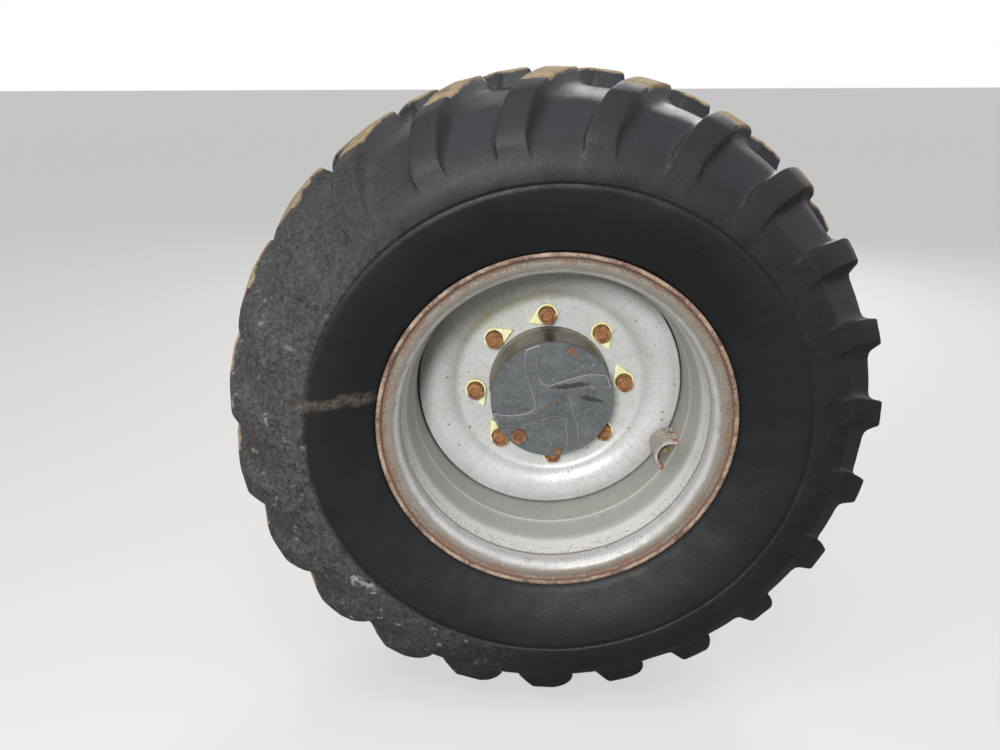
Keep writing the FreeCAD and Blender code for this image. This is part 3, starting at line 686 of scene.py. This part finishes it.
disc = turned("pressed_disc", [
    (-MOUNT, DISC_BORE + CHAMFER),
    (-MOUNT, FLAT, ROOT + WALL),
    (-MOUNT - (1.0 - HALF) * (ROOT + WALL), FLAT + HALF * (ROOT + WALL), -(CROWN - WALL)),
    (CREST + CREST_BACK * WALL, EDGE - CREST_IN * WALL),
    (FACE + 10.0, SKIRT_R - WALL),
    (SKIRT_END, SKIRT_R - WALL),
    (SKIRT_END, SKIRT_R - SKIRT_GAP),
    (CREST + 8.0, SKIRT_R - SKIRT_GAP, SKIRT_BEND),
    (CREST, EDGE, CROWN),
    (FACE - (1.0 - HALF) * ROOT, FLAT + HALF * ROOT, -ROOT),
    (FACE, FLAT),
    (FACE, DISC_BORE + CHAMFER),
    (FACE + CHAMFER, DISC_BORE),
    (-MOUNT - CHAMFER, DISC_BORE),
], step=2.0)
wear(disc, disc_paint, "wheel", "wheel_disc")

# %% [markdown]
# ## Tyre
#
# The tyre has two rows of slanted lugs that meet in the middle like arrows, half a pitch apart. Making
# it whole would mean forty-six lugs by hand. Instead one lug's share of one half is made and repeated.
#
# First its section is drawn and spun through one pitch, which gives a grid of rings and lines. Each ring
# has a place on the ground between the lugs and a place on top of a lug, both in the table. Then every
# point is carried to its share of the height, so the grid's lines gather along the lug's edges. An
# operator for each of a thousand points would be slower and harder to read than one loop.

# %% Tyre section
LUGS = 23
PITCH = math.tau / LUGS
LUG_PHASE = math.radians(9.3)
LUG_HALF = 22.0
LUG_TAPER = 0.34
# width from the middle, and how far a lug is turned there, in degrees: its inner end leads
LEAN = [(6.0, 7.6), (150.0, 0.0), (192.0, -3.1)]
TREAD_R = 536.6

# width from the middle, radius, and for a lug its top's width and radius
RINGS = [
    (0.0, 511.0), (4.0, 511.0), (6.5, 510.9, 8.0, 531.0), (9.0, 510.9, 10.0, 535.8),
    (14.0, 510.8, 14.0, TREAD_R), (34.0, 510.4, 34.0, TREAD_R - 0.4), (54.0, 509.6, 54.0, TREAD_R - 1.8),
    (74.0, 508.0, 74.0, TREAD_R - 4.4), (93.0, 505.5, 93.0, TREAD_R - 8.2),
    (112.0, 502.0, 114.0, 523.8), (127.0, 498.4, 132.0, 518.4), (137.0, 494.6, 145.0, 513.8),
    (142.0, 491.6, 151.5, 510.6), (146.5, 488.0, 155.6, 507.0), (153.0, 482.0, 160.6, 501.6),
    (162.0, 473.2, 169.0, 492.4), (171.0, 464.0, 178.0, 481.0), (180.0, 454.4, 186.5, 468.0),
    (186.6, 447.0, 192.0, 455.5), (189.4, 443.0, 194.4, 446.6), (192.6, 436.0, 195.6, 438.6),
    (196.3, 427.0), (199.3, 418.0),
    (201.2, 408.0), (201.9, 399.0), (201.9, 392.5), (201.6, 389.4), (200.2, 388.0), (199.8, 386.6),
    (200.9, 385.0), (200.0, 378.0), (197.8, 366.0), (193.9, 352.0), (189.0, 338.0), (183.2, 324.0),
    (177.2, 311.0), (171.6, 299.0), (168.2, 292.0), (165.0, 288.0), (162.6, 286.2),
    (157.0, 283.0), (152.2, 277.0), (149.8, 269.6), (149.8, 257.4), (112.0, 256.2),
    (109.0, 262.0), (126.0, 281.0), (158.0, 316.0), (180.0, 356.0), (188.5, 400.0), (180.0, 434.0),
    (130.0, 469.0), (70.0, 484.0), (0.0, 491.0),
]
FIRST_LIFTED = 2
LAST_LIFTED = max(number for number, ring in enumerate(RINGS) if len(ring) == 4)
RINGS_TO_EVEN = 6.0

# share of the lug's height, and distance out from the wall's plane in mm; negative is on the lug
LINES = [(0.0, 11.0), (0.07, 4.0), (0.26, 1.0), (0.60, 0.0), (0.90, -0.3), (0.98, -1.8), (1.0, -4.5)]
STEPS = 20
print("rings", len(RINGS), "lines", STEPS + 1)

# %% Where a grid point goes
def even_angle(line):
    """Angle of a line that is spaced evenly over the pitch."""
    return (line / STEPS - 0.5) * PITCH


def line_angle(line, lift_radius, ground_radius):
    """Angle of a grid line from the lug's middle, and its share of the lug's height."""
    number = line - STEPS // 2
    side = 1.0 if number > 0 else -1.0
    rank = STEPS // 2 - abs(number)
    if rank == 0:
        return side * PITCH / 2.0, 0.0
    if number == 0:
        return 0.0, 1.0
    inward = max(rank - 2, 0)
    share, out = LINES[min(inward, len(LINES) - 1)]
    at_radius = ground_radius + share * (lift_radius - ground_radius)
    half = LUG_HALF + (lift_radius - at_radius) * LUG_TAPER + out
    angle = math.asin(half / at_radius)
    if rank == 1:
        return side * (angle + PITCH / 2.0) / 2.0, 0.0
    if inward > len(LINES) - 1:
        return side * angle * 0.5, 1.0
    return side * angle, share


def lean_at(width):
    """How far a lug is turned at this width."""
    width = min(max(width, LEAN[0][0]), LEAN[-1][0])
    for (near, lead), (far, lag) in zip(LEAN, LEAN[1:]):
        if width <= far:
            return math.radians(lead + (lag - lead) * (width - near) / (far - near))


def carried(ring_number, line):
    """The place of one grid point: angle, width and radius."""
    ring = RINGS[ring_number]
    lifted = len(ring) == 4
    if ring_number in (0, len(RINGS) - 1):
        angle, share = even_angle(line), 0.0
    elif ring_number > LAST_LIFTED:
        last = RINGS[LAST_LIFTED]
        angle, share = line_angle(line, last[3], last[1])
        even = min((ring_number - LAST_LIFTED) / RINGS_TO_EVEN, 1.0)
        angle += (even_angle(line) - angle) * even
    else:
        ground = ring if lifted else RINGS[FIRST_LIFTED]
        angle, share = line_angle(line, ground[3], ground[1])
    width, radius = ring[:2]
    if lifted:
        width += share * (ring[2] - width)
        radius += share * (ring[3] - radius)
    return angle + lean_at(width if ring_number <= LAST_LIFTED else LEAN[-1][0]), width, radius


# %% Tyre mesh
tyre = draw_line("lugged_tyre", [(middle - ring[0], ring[1]) for ring in RINGS], -PITCH / 2.0)
bpy.ops.mesh.select_all(action="SELECT")
bpy.ops.mesh.spin(steps=STEPS, angle=-PITCH, **AXLE)
apply_place()
turns = [math.atan2(vertex.co.x, vertex.co.z) for vertex in tyre.data.vertices]
first_turn = min(turns)
ring_places = [Vector(((middle - ring[0]) * MM, ring[1] * MM)) for ring in RINGS]
for vertex, turn_now in zip(tyre.data.vertices, turns):
    here = Vector((vertex.co.y, math.hypot(vertex.co.x, vertex.co.z)))
    ring_number = min(range(len(RINGS)), key=lambda number: (ring_places[number] - here).length)
    line = round((turn_now - first_turn) / PITCH * STEPS)
    angle, width, radius = carried(ring_number, line)
    angle += LUG_PHASE
    vertex.co = Vector((radius * math.sin(angle), middle - width, radius * math.cos(angle))) * MM
print("sector from", round(math.degrees(first_turn), 2), "points", len(turns))

# %% [markdown]
# The other half is the same grid mirrored across the wheel's middle and carried on by half a pitch. The
# pair is then copied round the axle and all meeting edges are merged. Old rubber is never even, so a
# light displacement follows, small enough to stay inside the tyre's size.

# %% Tyre copies
CENTRE = (0.0, MIDDLE, 0.0)
MEETING = 2e-5

bpy.ops.object.mode_set(mode="EDIT")
bpy.ops.mesh.select_all(action="SELECT")
bpy.ops.mesh.duplicate()
bpy.ops.transform.resize(value=(1.0, -1.0, 1.0), center_override=CENTRE)
# with no window, rotate turns the other way, so the angle is negative
bpy.ops.transform.rotate(value=-PITCH / 2.0, orient_axis="Y", center_override=CENTRE)
bpy.ops.mesh.select_all(action="SELECT")
bpy.ops.mesh.spin(steps=LUGS - 1, dupli=True, angle=math.tau * (LUGS - 1) / LUGS, **AXLE)
close_mesh(MEETING)
bpy.ops.object.mode_set(mode="OBJECT")
swollen(tyre, "worn_rubber", grain=0.045, depth=3, strength=3.0, mid_level=0.80)
settle(tyre, 50.0)
reach = max(math.hypot(vertex.co.x, vertex.co.z) for vertex in tyre.data.vertices)
loose = sum(1 for edge in tyre.data.edges if edge.is_loose)
print("tyre radius", round(reach / MM, 1), "loose edges", loose)

# %% [markdown]
# ## Rubber
#
# Tyre rubber is nearly black, but it rarely looks it: the shoulders carry grey dust, the tops of the lugs
# carry the sand that they roll on, and only the lower side wall stays dark and slightly glossy. Distance
# from the axle tells these zones apart. Sand lies only where the surface is close to the tread's outer
# line, which falls towards the shoulder, so the fall is added to the distance before the mask.

# %% Rubber
RUBBER = (0.0080, 0.0092, 0.0110)
RUBBER_OLD = (0.0135, 0.0142, 0.0155)
GROOVE_SKY_SHEEN = (0.0150, 0.0174, 0.0210)
DUST = (0.112, 0.109, 0.103)
FLECK = (0.19, 0.186, 0.18)
SHOULDER = 0.389

rubber, tree, shader, place = new_material("tyre_rubber")
ring = placed(tree, AXLE_PLACE, {"Vector": place})
across = off_middle(tree, ring)
colour = mixed(tree, patches(tree, place, 5.0, 0.5, 0.25), RUBBER, RUBBER_OLD)
# painted reflection: the tread face inside the crease is lighter and bluer, as the groove floors mirror
# the sky
groove_sheen = span(tree, worked_out(tree, "ADD", ring["Radius"], across), 0.636, 0.645, 1.0, 0.0)
groove_sheen = times(tree, groove_sheen, band(tree, place, ring["Radius"], 0.4445, NO_END, 0.0018, 0.004, 30.0))
colour = mixed(tree, groove_sheen, colour, GROOVE_SKY_SHEEN)

shoulder = band(tree, place, ring["Radius"], SHOULDER, NO_END, 0.006, 0.008, 40.0)
dusted = times(tree, shoulder, facing(tree, ring, 100.0, 0.16, 0.95, 0.05, 0.88))
film = span(tree, noise(tree, place, 130.0, 8.0, 0.75), 0.36, 0.68)
colour = mixed(tree, times(tree, dusted, film), colour, DUST)
flecks = span(tree, noise(tree, place, 620.0, 3.0, 0.6), 0.56, 0.72)
colour = mixed(tree, times(tree, flecks, dusted), colour, FLECK, share=0.75)

# %% Sand on the lugs
SAND = (0.43, 0.32, 0.19)
SAND_DARK = (0.27, 0.20, 0.125)
SAND_FROM = 0.5325
SAND_WIDTH = 0.115
FALL_WIDTH = 0.150
FALL_POWER = 2.4
FALL = 0.027

fall = worked_out(tree, "POWER", worked_out(tree, "DIVIDE", across, FALL_WIDTH), FALL_POWER)
outward = worked_out(tree, "ADD", ring["Radius"], times(tree, fall, FALL))
sand = times(tree, band(tree, place, outward, SAND_FROM, NO_END, 0.0022, 0.014, 34.0),
             band(tree, place, across, NO_START, SAND_WIDTH, 0.0012, 0.018, 90.0),
             patches(tree, place, 26.0, 0.86, 0.10))
tone = mixed(tree, patches(tree, place, 60.0, 0.5, 0.2), SAND, SAND_DARK)
colour = mixed(tree, sand, colour, tone, share=0.92)

# %% Chafed and smeared side wall
CHAFED = (0.34, 0.33, 0.31)
MUD = (0.15, 0.125, 0.10)

chafed = times(tree, patches(tree, place, 42.0, 0.16, 0.05), facing(tree, ring, 112.0, 0.45, 0.95),
               shoulder)
colour = mixed(tree, chafed, colour, CHAFED, share=0.8)
split = put(tree, "ShaderNodeSeparateXYZ", {0: place}).outputs
smear = times(tree, band(tree, place, split["X"], -0.392, -0.286, 0.012, 0.03, 30.0),
              band(tree, place, split["Z"], 0.052, 0.069, 0.007, 0.03, 34.0),
              film, worked_out(tree, "LESS_THAN", ring["Depth"], MIDDLE))
colour = mixed(tree, smear, colour, MUD, share=0.8)
matt = worked_out(tree, "MAXIMUM", sand, dusted)
gloss = worked_out(tree, "MULTIPLY_ADD", film, 0.12, 0.44)
fill(tree, shader, {"Base Color": colour, "Roughness": mixed(tree, matt, gloss, 0.86),
                    "Specular IOR Level": 0.22})
roughened(tree, shader, noise(tree, place, 260.0, 6.0), 0.35, 0.0012)
wear(tyre, rubber, "wheel", "tyre")
print("rubber nodes", len(tree.nodes))

# %% [markdown]
# ## Hub cover
#
# The cover is a cast plate with four hollows, so that a cross of curved arms is left. Its plan is already
# right in the CAD node, so a copy of that node is merged and cleaned, and only the edges between face and
# hollow are bevelled. The new narrow faces take a second, lighter finish, where paint has rubbed off.

# %% Choosing edges and faces
def choose(piece):
    """Makes the piece the only selected one and the active one."""
    bpy.ops.object.select_all(action="DESELECT")
    piece.select_set(True)
    bpy.context.view_layer.objects.active = piece


def copy_of_node(name, node):
    """A merged copy of a CAD node in edit mode, with flat areas joined again."""
    piece = bpy.data.objects.new(name, NODES[node].data.copy())
    piece.data.name = name
    bpy.context.scene.collection.objects.link(piece)
    choose(piece)
    bpy.ops.object.mode_set(mode="EDIT")
    bpy.ops.mesh.customdata_custom_splitnormals_clear()
    close_mesh()
    bpy.ops.mesh.dissolve_limited(angle_limit=math.radians(1.0))
    return piece


def select_edges(piece, test):
    """Selects only the edges of the piece in edit mode whose two ends pass the test."""
    bpy.ops.mesh.select_mode(type="EDGE")
    bpy.ops.mesh.select_all(action="DESELECT")
    bpy.ops.object.mode_set(mode="OBJECT")
    for edge in piece.data.edges:
        edge.select = test(*[piece.data.vertices[number].co for number in edge.vertices])
    bpy.ops.object.mode_set(mode="EDIT")


def select_faces(piece, test):
    """Selects only the faces of the piece in edit mode that pass the test."""
    bpy.ops.mesh.select_mode(type="FACE")
    bpy.ops.mesh.select_all(action="DESELECT")
    bpy.ops.object.mode_set(mode="OBJECT")
    for face in piece.data.polygons:
        face.select = test(face)
    bpy.ops.object.mode_set(mode="EDIT")


# %% Cover paint
SLATE = (0.066, 0.074, 0.079)
SLATE_PALE = (0.115, 0.126, 0.132)
SLATE_DUST = (0.17, 0.18, 0.185)
CHIP = (0.62, 0.64, 0.62)
SCRATCH = (0.33, 0.34, 0.34)
RUBBED = (0.36, 0.355, 0.325)
SCRATCH_LEAN = (0.0, 0.6, 0.0)
SCRATCH_STRETCH = (24.0, 24.0, 260.0)
# scuffs and rust spots: across and up from the axle, half length, half width, lean, tone
SCUFFS = [
    (0.030, 0.028, 0.036, 0.0060, 0.12, (0.012, 0.014, 0.018)),
    (0.066, 0.002, 0.026, 0.0055, -0.20, (0.014, 0.016, 0.020)),
    (0.003, 0.000, 0.007, 0.0055, 0.0, (0.17, 0.095, 0.065)),
    (0.034, 0.084, 0.009, 0.0080, 0.0, (0.17, 0.095, 0.06)),
]


def slate_paint(name, rubbed):
    """Slate grey machine paint: the rubbed version is the light edge of a casting."""
    material, tree, shader, place = new_material(name)
    colour = mixed(tree, patches(tree, place, 22.0, 0.5, 0.22), SLATE, SLATE_PALE, share=0.8)
    dust = patches(tree, place, 170.0, 0.40, 0.14)
    colour = mixed(tree, dust, colour, SLATE_DUST, share=0.45)
    colour = mixed(tree, specks(tree, place, 120.0, 0.13, 0.10), colour, CHIP, share=0.85)
    scratch = put(tree, "ShaderNodeMapping", {
        0: place, "Rotation": SCRATCH_LEAN, "Scale": SCRATCH_STRETCH}).outputs[0]
    colour = mixed(tree, patches(tree, scratch, 1.6, 0.13, 0.03), colour, SCRATCH, share=0.45)
    if rubbed:
        colour = mixed(tree, 0.6, colour, RUBBED)
    for x, z, long, wide, lean, tone in SCUFFS:
        near = place
        for key, change in (("Location", (-x, 0.0, -z)), ("Rotation", (0.0, lean, 0.0)),
                            ("Scale", (1.0 / long, 0.0, 1.0 / wide))):
            near = put(tree, "ShaderNodeMapping", {0: near, key: change}).outputs[0]
        far = put(tree, "ShaderNodeVectorMath", {0: near}, operation="LENGTH").outputs["Value"]
        mark = band(tree, place, far, NO_START, 0.75, 0.12, 1.7, 190.0)
        colour = mixed(tree, mark, colour, tone, share=0.85)
    gloss = worked_out(tree, "MULTIPLY_ADD", dust, 0.2, 0.5)
    fill(tree, shader, {"Base Color": colour, "Roughness": gloss})
    roughened(tree, shader, noise(tree, place, 330.0, 5.0), 0.5, 0.0009)
    return material


# %% Cover
COVER_FACE = -281.0
COVER_EDGE = 1.3


def in_cover_face(start, end):
    """True for an edge that lies in the cover's outer face."""
    return all(abs(spot.y - COVER_FACE * MM) < 0.1 * MM for spot in (start, end))


cover = copy_of_node("cast_cover", "hub_cover")
bpy.ops.object.mode_set(mode="OBJECT")
wear(cover, slate_paint("cover_paint", False), "wheel", "hub_cover")
cover.data.materials.append(slate_paint("cover_edge", True))
bpy.ops.object.mode_set(mode="EDIT")
select_edges(cover, in_cover_face)
bpy.ops.mesh.bevel(offset=COVER_EDGE * MM, segments=2, affect="EDGES", material=1)
settle(cover, 30.0)

# %% [markdown]
# ## Nuts
#
# A wheel nut is a hexagon with a round collar at its foot and a chamfered top. One is modelled from a
# six-sided cylinder: its upright corners are bevelled, its top is inset to a round bore and the bore is
# pushed in. The other seven are copies, each carried round the axle. Rust has eaten the corners, so the
# bevels are larger than on a new nut.

# %% Nuts
BOLT_CIRCLE = 132.5
BOLT_PHASE = math.radians(-3.0)
BOLTS = 8
NUT_ACROSS = 27.0
NUT_HEIGHT = 24.0
NUT_CORNER = 2.6
NUT_CHAMFER = (1.5, 0.9)
NUT_TOP = 2.4
BORE_CHAMFER = 0.8
BORE_FLOOR = 1.0
COLLAR_R = 17.0
COLLAR_HEIGHT = 5.0
COLLAR_CHAMFER = (0.8, 0.5)
# in square metres: only the collar's face is larger
COLLAR_AREA = 0.0003
SIXTH = math.pi / 3.0
ON_AXLE = (math.pi / 2.0, 0.0, 0.0)


def at_bolt(depth):
    """A place on the first bolt's line, before it is turned to its angle."""
    return (0.0, depth * MM, BOLT_CIRCLE * MM)


def along_axle(start, end):
    """True for an edge that runs along the axle."""
    return abs(start.y - end.y) > 0.9 * (start - end).length


def raise_top(height):
    """Moves what is selected outwards along the axle."""
    bpy.ops.transform.translate(value=(0.0, -height * MM, 0.0))


nut = start_from("nut_1", "cylinder", vertices=6, radius=NUT_ACROSS / 2.0 / math.cos(SIXTH / 2.0) * MM,
                 depth=NUT_HEIGHT * MM, location=at_bolt(FACE - NUT_HEIGHT / 2.0), rotation=ON_AXLE)
apply_place()
bpy.ops.object.mode_set(mode="EDIT")
bpy.ops.transform.rotate(value=SIXTH / 2.0, orient_axis="Y", center_override=at_bolt(FACE))
select_edges(nut, along_axle)
bpy.ops.mesh.bevel(offset=NUT_CORNER * MM, segments=3, affect="EDGES")
select_faces(nut, lambda face: face.normal.y < -0.9)
bpy.ops.mesh.inset(thickness=NUT_CHAMFER[0] * MM)
raise_top(NUT_CHAMFER[1])
bpy.ops.mesh.inset(thickness=NUT_TOP * MM)
bpy.ops.transform.tosphere(value=1.0)
bpy.ops.mesh.inset(thickness=BORE_CHAMFER * MM)
bore = (0.0, (NUT_HEIGHT - BORE_FLOOR) * MM, 0.0)
bpy.ops.mesh.extrude_region_move(TRANSFORM_OT_translate={"value": bore})
bpy.ops.mesh.primitive_cylinder_add(vertices=36, radius=COLLAR_R * MM, depth=COLLAR_HEIGHT * MM,
                                    location=at_bolt(FACE - COLLAR_HEIGHT / 2.0), rotation=ON_AXLE)
select_faces(nut, lambda face: face.normal.y < -0.9 and face.area > COLLAR_AREA
             and face.center.y > (FACE - COLLAR_HEIGHT - 1.0) * MM)
bpy.ops.mesh.inset(thickness=COLLAR_CHAMFER[0] * MM)
raise_top(COLLAR_CHAMFER[1])
bpy.ops.mesh.select_all(action="SELECT")
bpy.ops.mesh.normals_make_consistent(inside=False)
settle(nut, 40.0)

# %% [markdown]
# ## Indicators
#
# Each nut wears a plastic indicator: a ring with a pointer. Two neighbours point at each other, and when
# one nut works loose its pointer turns away. The plan starts as a circle. The points that face the
# pointer's way are merged into one and moved out to the tip, and an inner circle is bridged to it.

# %% Indicators
RING_R = 18.5
RING_WIDTH = 3.0
RING_HEIGHT = 4.0
RING_ROUND = 0.7
RING_GAP = 0.2
POINTER_REACH = 36.0
POINTER_DROP = math.radians(22.5)
POINTER_SIDES = (-1, 1)


def new_indicator(name, side):
    """One indicator on the first bolt's line: side says which way it points."""
    foot = at_bolt(FACE - COLLAR_HEIGHT - RING_GAP)
    flat = {"vertices": 40, "location": foot, "rotation": ON_AXLE}
    tip = Vector((side * math.cos(POINTER_DROP), 0.0, -math.sin(POINTER_DROP)))
    piece = start_from(name, "circle", radius=RING_R * MM, **flat)
    apply_place()
    bpy.ops.object.mode_set(mode="EDIT")
    bpy.ops.mesh.select_mode(type="VERT")
    bpy.ops.mesh.select_all(action="DESELECT")
    bpy.ops.object.mode_set(mode="OBJECT")
    centre = Vector(foot)
    for vertex in piece.data.vertices:
        vertex.select = (vertex.co - centre).normalized().dot(tip) > RING_R / POINTER_REACH + 0.02
    bpy.ops.object.mode_set(mode="EDIT")
    bpy.ops.mesh.merge(type="CENTER")
    bpy.ops.object.mode_set(mode="OBJECT")
    for vertex in piece.data.vertices:
        if vertex.select:
            vertex.co = centre + tip * POINTER_REACH * MM
    bpy.ops.object.mode_set(mode="EDIT")
    bpy.ops.mesh.primitive_circle_add(radius=(RING_R - RING_WIDTH) * MM, **flat)
    bpy.ops.mesh.select_all(action="SELECT")
    bpy.ops.mesh.bridge_edge_loops()
    bpy.ops.mesh.select_all(action="SELECT")
    bpy.ops.mesh.extrude_region_move(TRANSFORM_OT_translate={"value": (0.0, -RING_HEIGHT * MM, 0.0)})
    close_mesh()
    rounded(piece, RING_ROUND, 50.0)
    return settle(piece, 40.0)


def copy_at(piece, name, angle):
    """A copy with its own mesh, carried round the axle."""
    choose(piece)
    bpy.ops.object.duplicate(linked=False)
    copy = bpy.context.object
    copy.name = name
    copy.data.name = name
    copy.data.transform(Matrix.Rotation(angle, 4, "Y"))
    return copy


# %% Rust and plastic
OLD_CRUST = (0.06, 0.032, 0.022)
PLASTIC = (0.79, 0.81, 0.33)
PLASTIC_FADED = (0.86, 0.87, 0.58)
GRIME = (0.33, 0.29, 0.14)


def rusty_steel(name, scale, dark):
    """Bare steel rusted through: dark is the share of old brown crust."""
    material, tree, shader, place = new_material(name)
    rust = placed(tree, RUST, {"Vector": place, "Scale": scale})
    crust = patches(tree, place, 90.0, dark, 0.12)
    fill(tree, shader, {"Base Color": mixed(tree, crust, rust["Color"], OLD_CRUST, share=0.7),
                        "Roughness": worked_out(tree, "MULTIPLY_ADD", crust, -0.2, 0.88)})
    roughened(tree, shader, rust["Height"], 0.8, 0.0015)
    return material


nut_rust = rusty_steel("nut_rust", 110.0, 0.28)
stud_rust = rusty_steel("stud_rust", 240.0, 0.05)
plastic, tree, shader, place = new_material("indicator_plastic")
colour = mixed(tree, patches(tree, place, 60.0, 0.45, 0.2), PLASTIC, PLASTIC_FADED)
grime = patches(tree, place, 170.0, 0.28, 0.08)
fill(tree, shader, {"Base Color": mixed(tree, grime, colour, GRIME, share=0.55),
                    "Roughness": worked_out(tree, "MULTIPLY_ADD", grime, 0.3, 0.42)})

indicators = [new_indicator("indicator_shape_%d" % (side + 1), side) for side in POINTER_SIDES]
for number in range(BOLTS):
    angle = BOLT_PHASE + math.tau / BOLTS * number
    wear(copy_at(nut, "rusty_nut_%d" % (number + 1), angle), nut_rust, "wheel",
         "wheel_nut_%d" % (number + 1))
    wear(copy_at(indicators[number % 2], "pointer_%d" % (number + 1), angle), plastic, "wheel",
         "nut_indicator_%d" % (number + 1))
for spare in (nut, *indicators):
    bpy.data.objects.remove(spare)
print("nuts and indicators:", BOLTS)

# %% [markdown]
# ## Valve guard
#
# A short half tube is welded in the rim over the valve, so that stones can't shear it off. A copy of its
# CAD node gets rounded edges. Each foot has a weld bead: a thin cylinder whose rings are swollen by noise
# into the ripples that a welder leaves.

# %% Valve guard
VALVE_ANGLE = math.radians(116.5)
GUARD_FROM = -226.0
GUARD_LENGTH = 60.0
GUARD_R = 28.0
GUARD_ROUND = 1.1
BEAD_R = 3.6
BEAD_RINGS = 30
BEAD_SINK = 3.2

guard = copy_of_node("half_tube", "valve_guard")
rounded(guard, GUARD_ROUND, 40.0)
settle(guard, 40.0)
for side in (-1.0, 1.0):
    foot = Vector((side * (GUARD_R - 1.0), GUARD_FROM - GUARD_LENGTH / 2.0, SKIRT_R - BEAD_SINK)) * MM
    bead = start_from("weld_bead", "cylinder", vertices=14, radius=BEAD_R * MM,
                      depth=(GUARD_LENGTH - 3.0) * MM, location=foot, rotation=ON_AXLE)
    apply_place()
    bpy.ops.object.mode_set(mode="EDIT")
    select_edges(bead, along_axle)
    bpy.ops.mesh.subdivide(number_cuts=BEAD_RINGS)
    bpy.ops.object.mode_set(mode="OBJECT")
    swollen(bead, "weld_ripple", grain=0.005, depth=2, strength=2.4, mid_level=0.5)
    bead.data.transform(Matrix.Rotation(VALVE_ANGLE, 4, "Y"))
    bead.data.shade_smooth()
    choose(guard)
    bead.select_set(True)
    bpy.ops.object.join()

# %% Guard finish
GUARD_GREY = (0.56, 0.545, 0.50)
GUARD_SHADE = (0.36, 0.34, 0.30)

guard_steel, tree, shader, place = new_material("guard_steel")
rust = placed(tree, RUST, {"Vector": place, "Scale": 120.0})
ring = placed(tree, AXLE_PLACE, {"Vector": place})
colour = mixed(tree, patches(tree, place, 45.0, 0.5, 0.2), GUARD_GREY, GUARD_SHADE)
low = worked_out(tree, "MULTIPLY_ADD", span(tree, ring["Radius"], 0.214, 0.229), 0.75, 0.25)
bare = times(tree, patches(tree, place, 75.0, 0.52, 0.07), low)
colour = mixed(tree, bare, colour, rust["Color"])
finish_paint(tree, shader, place, colour, bare, 0.45, 0.3)
wear(guard, guard_steel, "wheel", "valve_guard")
print("guard faces", len(guard.data.polygons))

# %% [markdown]
# ## CAD nodes that stay
#
# Hub drum, stub axle, seal, studs, plug, screws and valve already have their real shape, so their CAD
# meshes stay. Each gets a finish of its own: olive grey paint with a dark, glossier patch at the top of
# the drum, dark paint and dust on the axle, black rubber, rust and brass.

# %% Hub and axle finishes
TOP_PATCH_DARK = (0.02, 0.02, 0.017)
DRY_ROUGHNESS = 0.55
TOP_PATCH_ROUGHNESS = 0.28


def machine_paint(name, tone, worn_tone, dark_top):
    """Brushed machine paint with dust and chips and, when asked, a dark, glossier patch at the top."""
    material, tree, shader, place = new_material(name)
    cloud = patches(tree, place, 18.0, 0.5, 0.2)
    colour = mixed(tree, cloud, tone, worn_tone, share=0.8)
    rust = placed(tree, RUST, {"Vector": place, "Scale": 70.0})
    colour = mixed(tree, patches(tree, place, 48.0, 0.20, 0.05), colour, rust["Color"], share=0.8)
    gloss = worked_out(tree, "MULTIPLY_ADD", cloud, 0.2, 0.5)
    if dark_top:
        ring = placed(tree, AXLE_PLACE, {"Vector": place})
        # a dark, glossier patch at the top of the piece
        top_patch = times(tree, facing(tree, ring, 0.0, 0.978, 0.997), patches(tree, place, 60.0, 0.75, 0.2))
        colour = mixed(tree, top_patch, colour, TOP_PATCH_DARK, share=0.85)
        gloss = mixed(tree, top_patch, DRY_ROUGHNESS, TOP_PATCH_ROUGHNESS)
    fill(tree, shader, {"Base Color": colour, "Roughness": gloss})
    roughened(tree, shader, noise(tree, place, 240.0, 5.0), 0.4, 0.001)
    return material


def mottled(name, tone, second, roughness, metallic):
    """A simple finish of two tones with a fine grain."""
    material, tree, shader, place = new_material(name)
    cloud = patches(tree, place, 80.0, 0.5, 0.15)
    fill(tree, shader, {
        "Base Color": mixed(tree, cloud, tone, second), "Metallic": metallic,
        "Roughness": worked_out(tree, "MULTIPLY_ADD", cloud, 0.25, roughness)})
    roughened(tree, shader, noise(tree, place, 500.0, 3.0), 0.3, 0.0006)
    return material


screw_rust = rusty_steel("screw_rust", 180.0, 0.3)
FINISHES = {
    "hub_drum": machine_paint("drum_paint", (0.16, 0.155, 0.115), (0.22, 0.20, 0.15), True),
    "stub_axle": machine_paint("axle_paint", (0.045, 0.048, 0.050), (0.10, 0.095, 0.085), False),
    "shaft_seal": mottled("seal_rubber", (0.015, 0.015, 0.015), (0.04, 0.038, 0.035), 0.6, 0.0),
    "valve_stem": mottled("valve_brass", (0.45, 0.31, 0.12), (0.20, 0.15, 0.09), 0.35, 0.8),
    "oil_plug": rusty_steel("plug_rust", 140.0, 0.5),
    "cover_screw_1": screw_rust,
    "cover_screw_2": screw_rust,
}
for number in range(BOLTS):
    FINISHES["wheel_stud_%d" % (number + 1)] = stud_rust
for node, material in FINISHES.items():
    NODES[node].data.materials.clear()
    NODES[node].data.materials.append(material)
print("CAD nodes kept:", len(FINISHES))
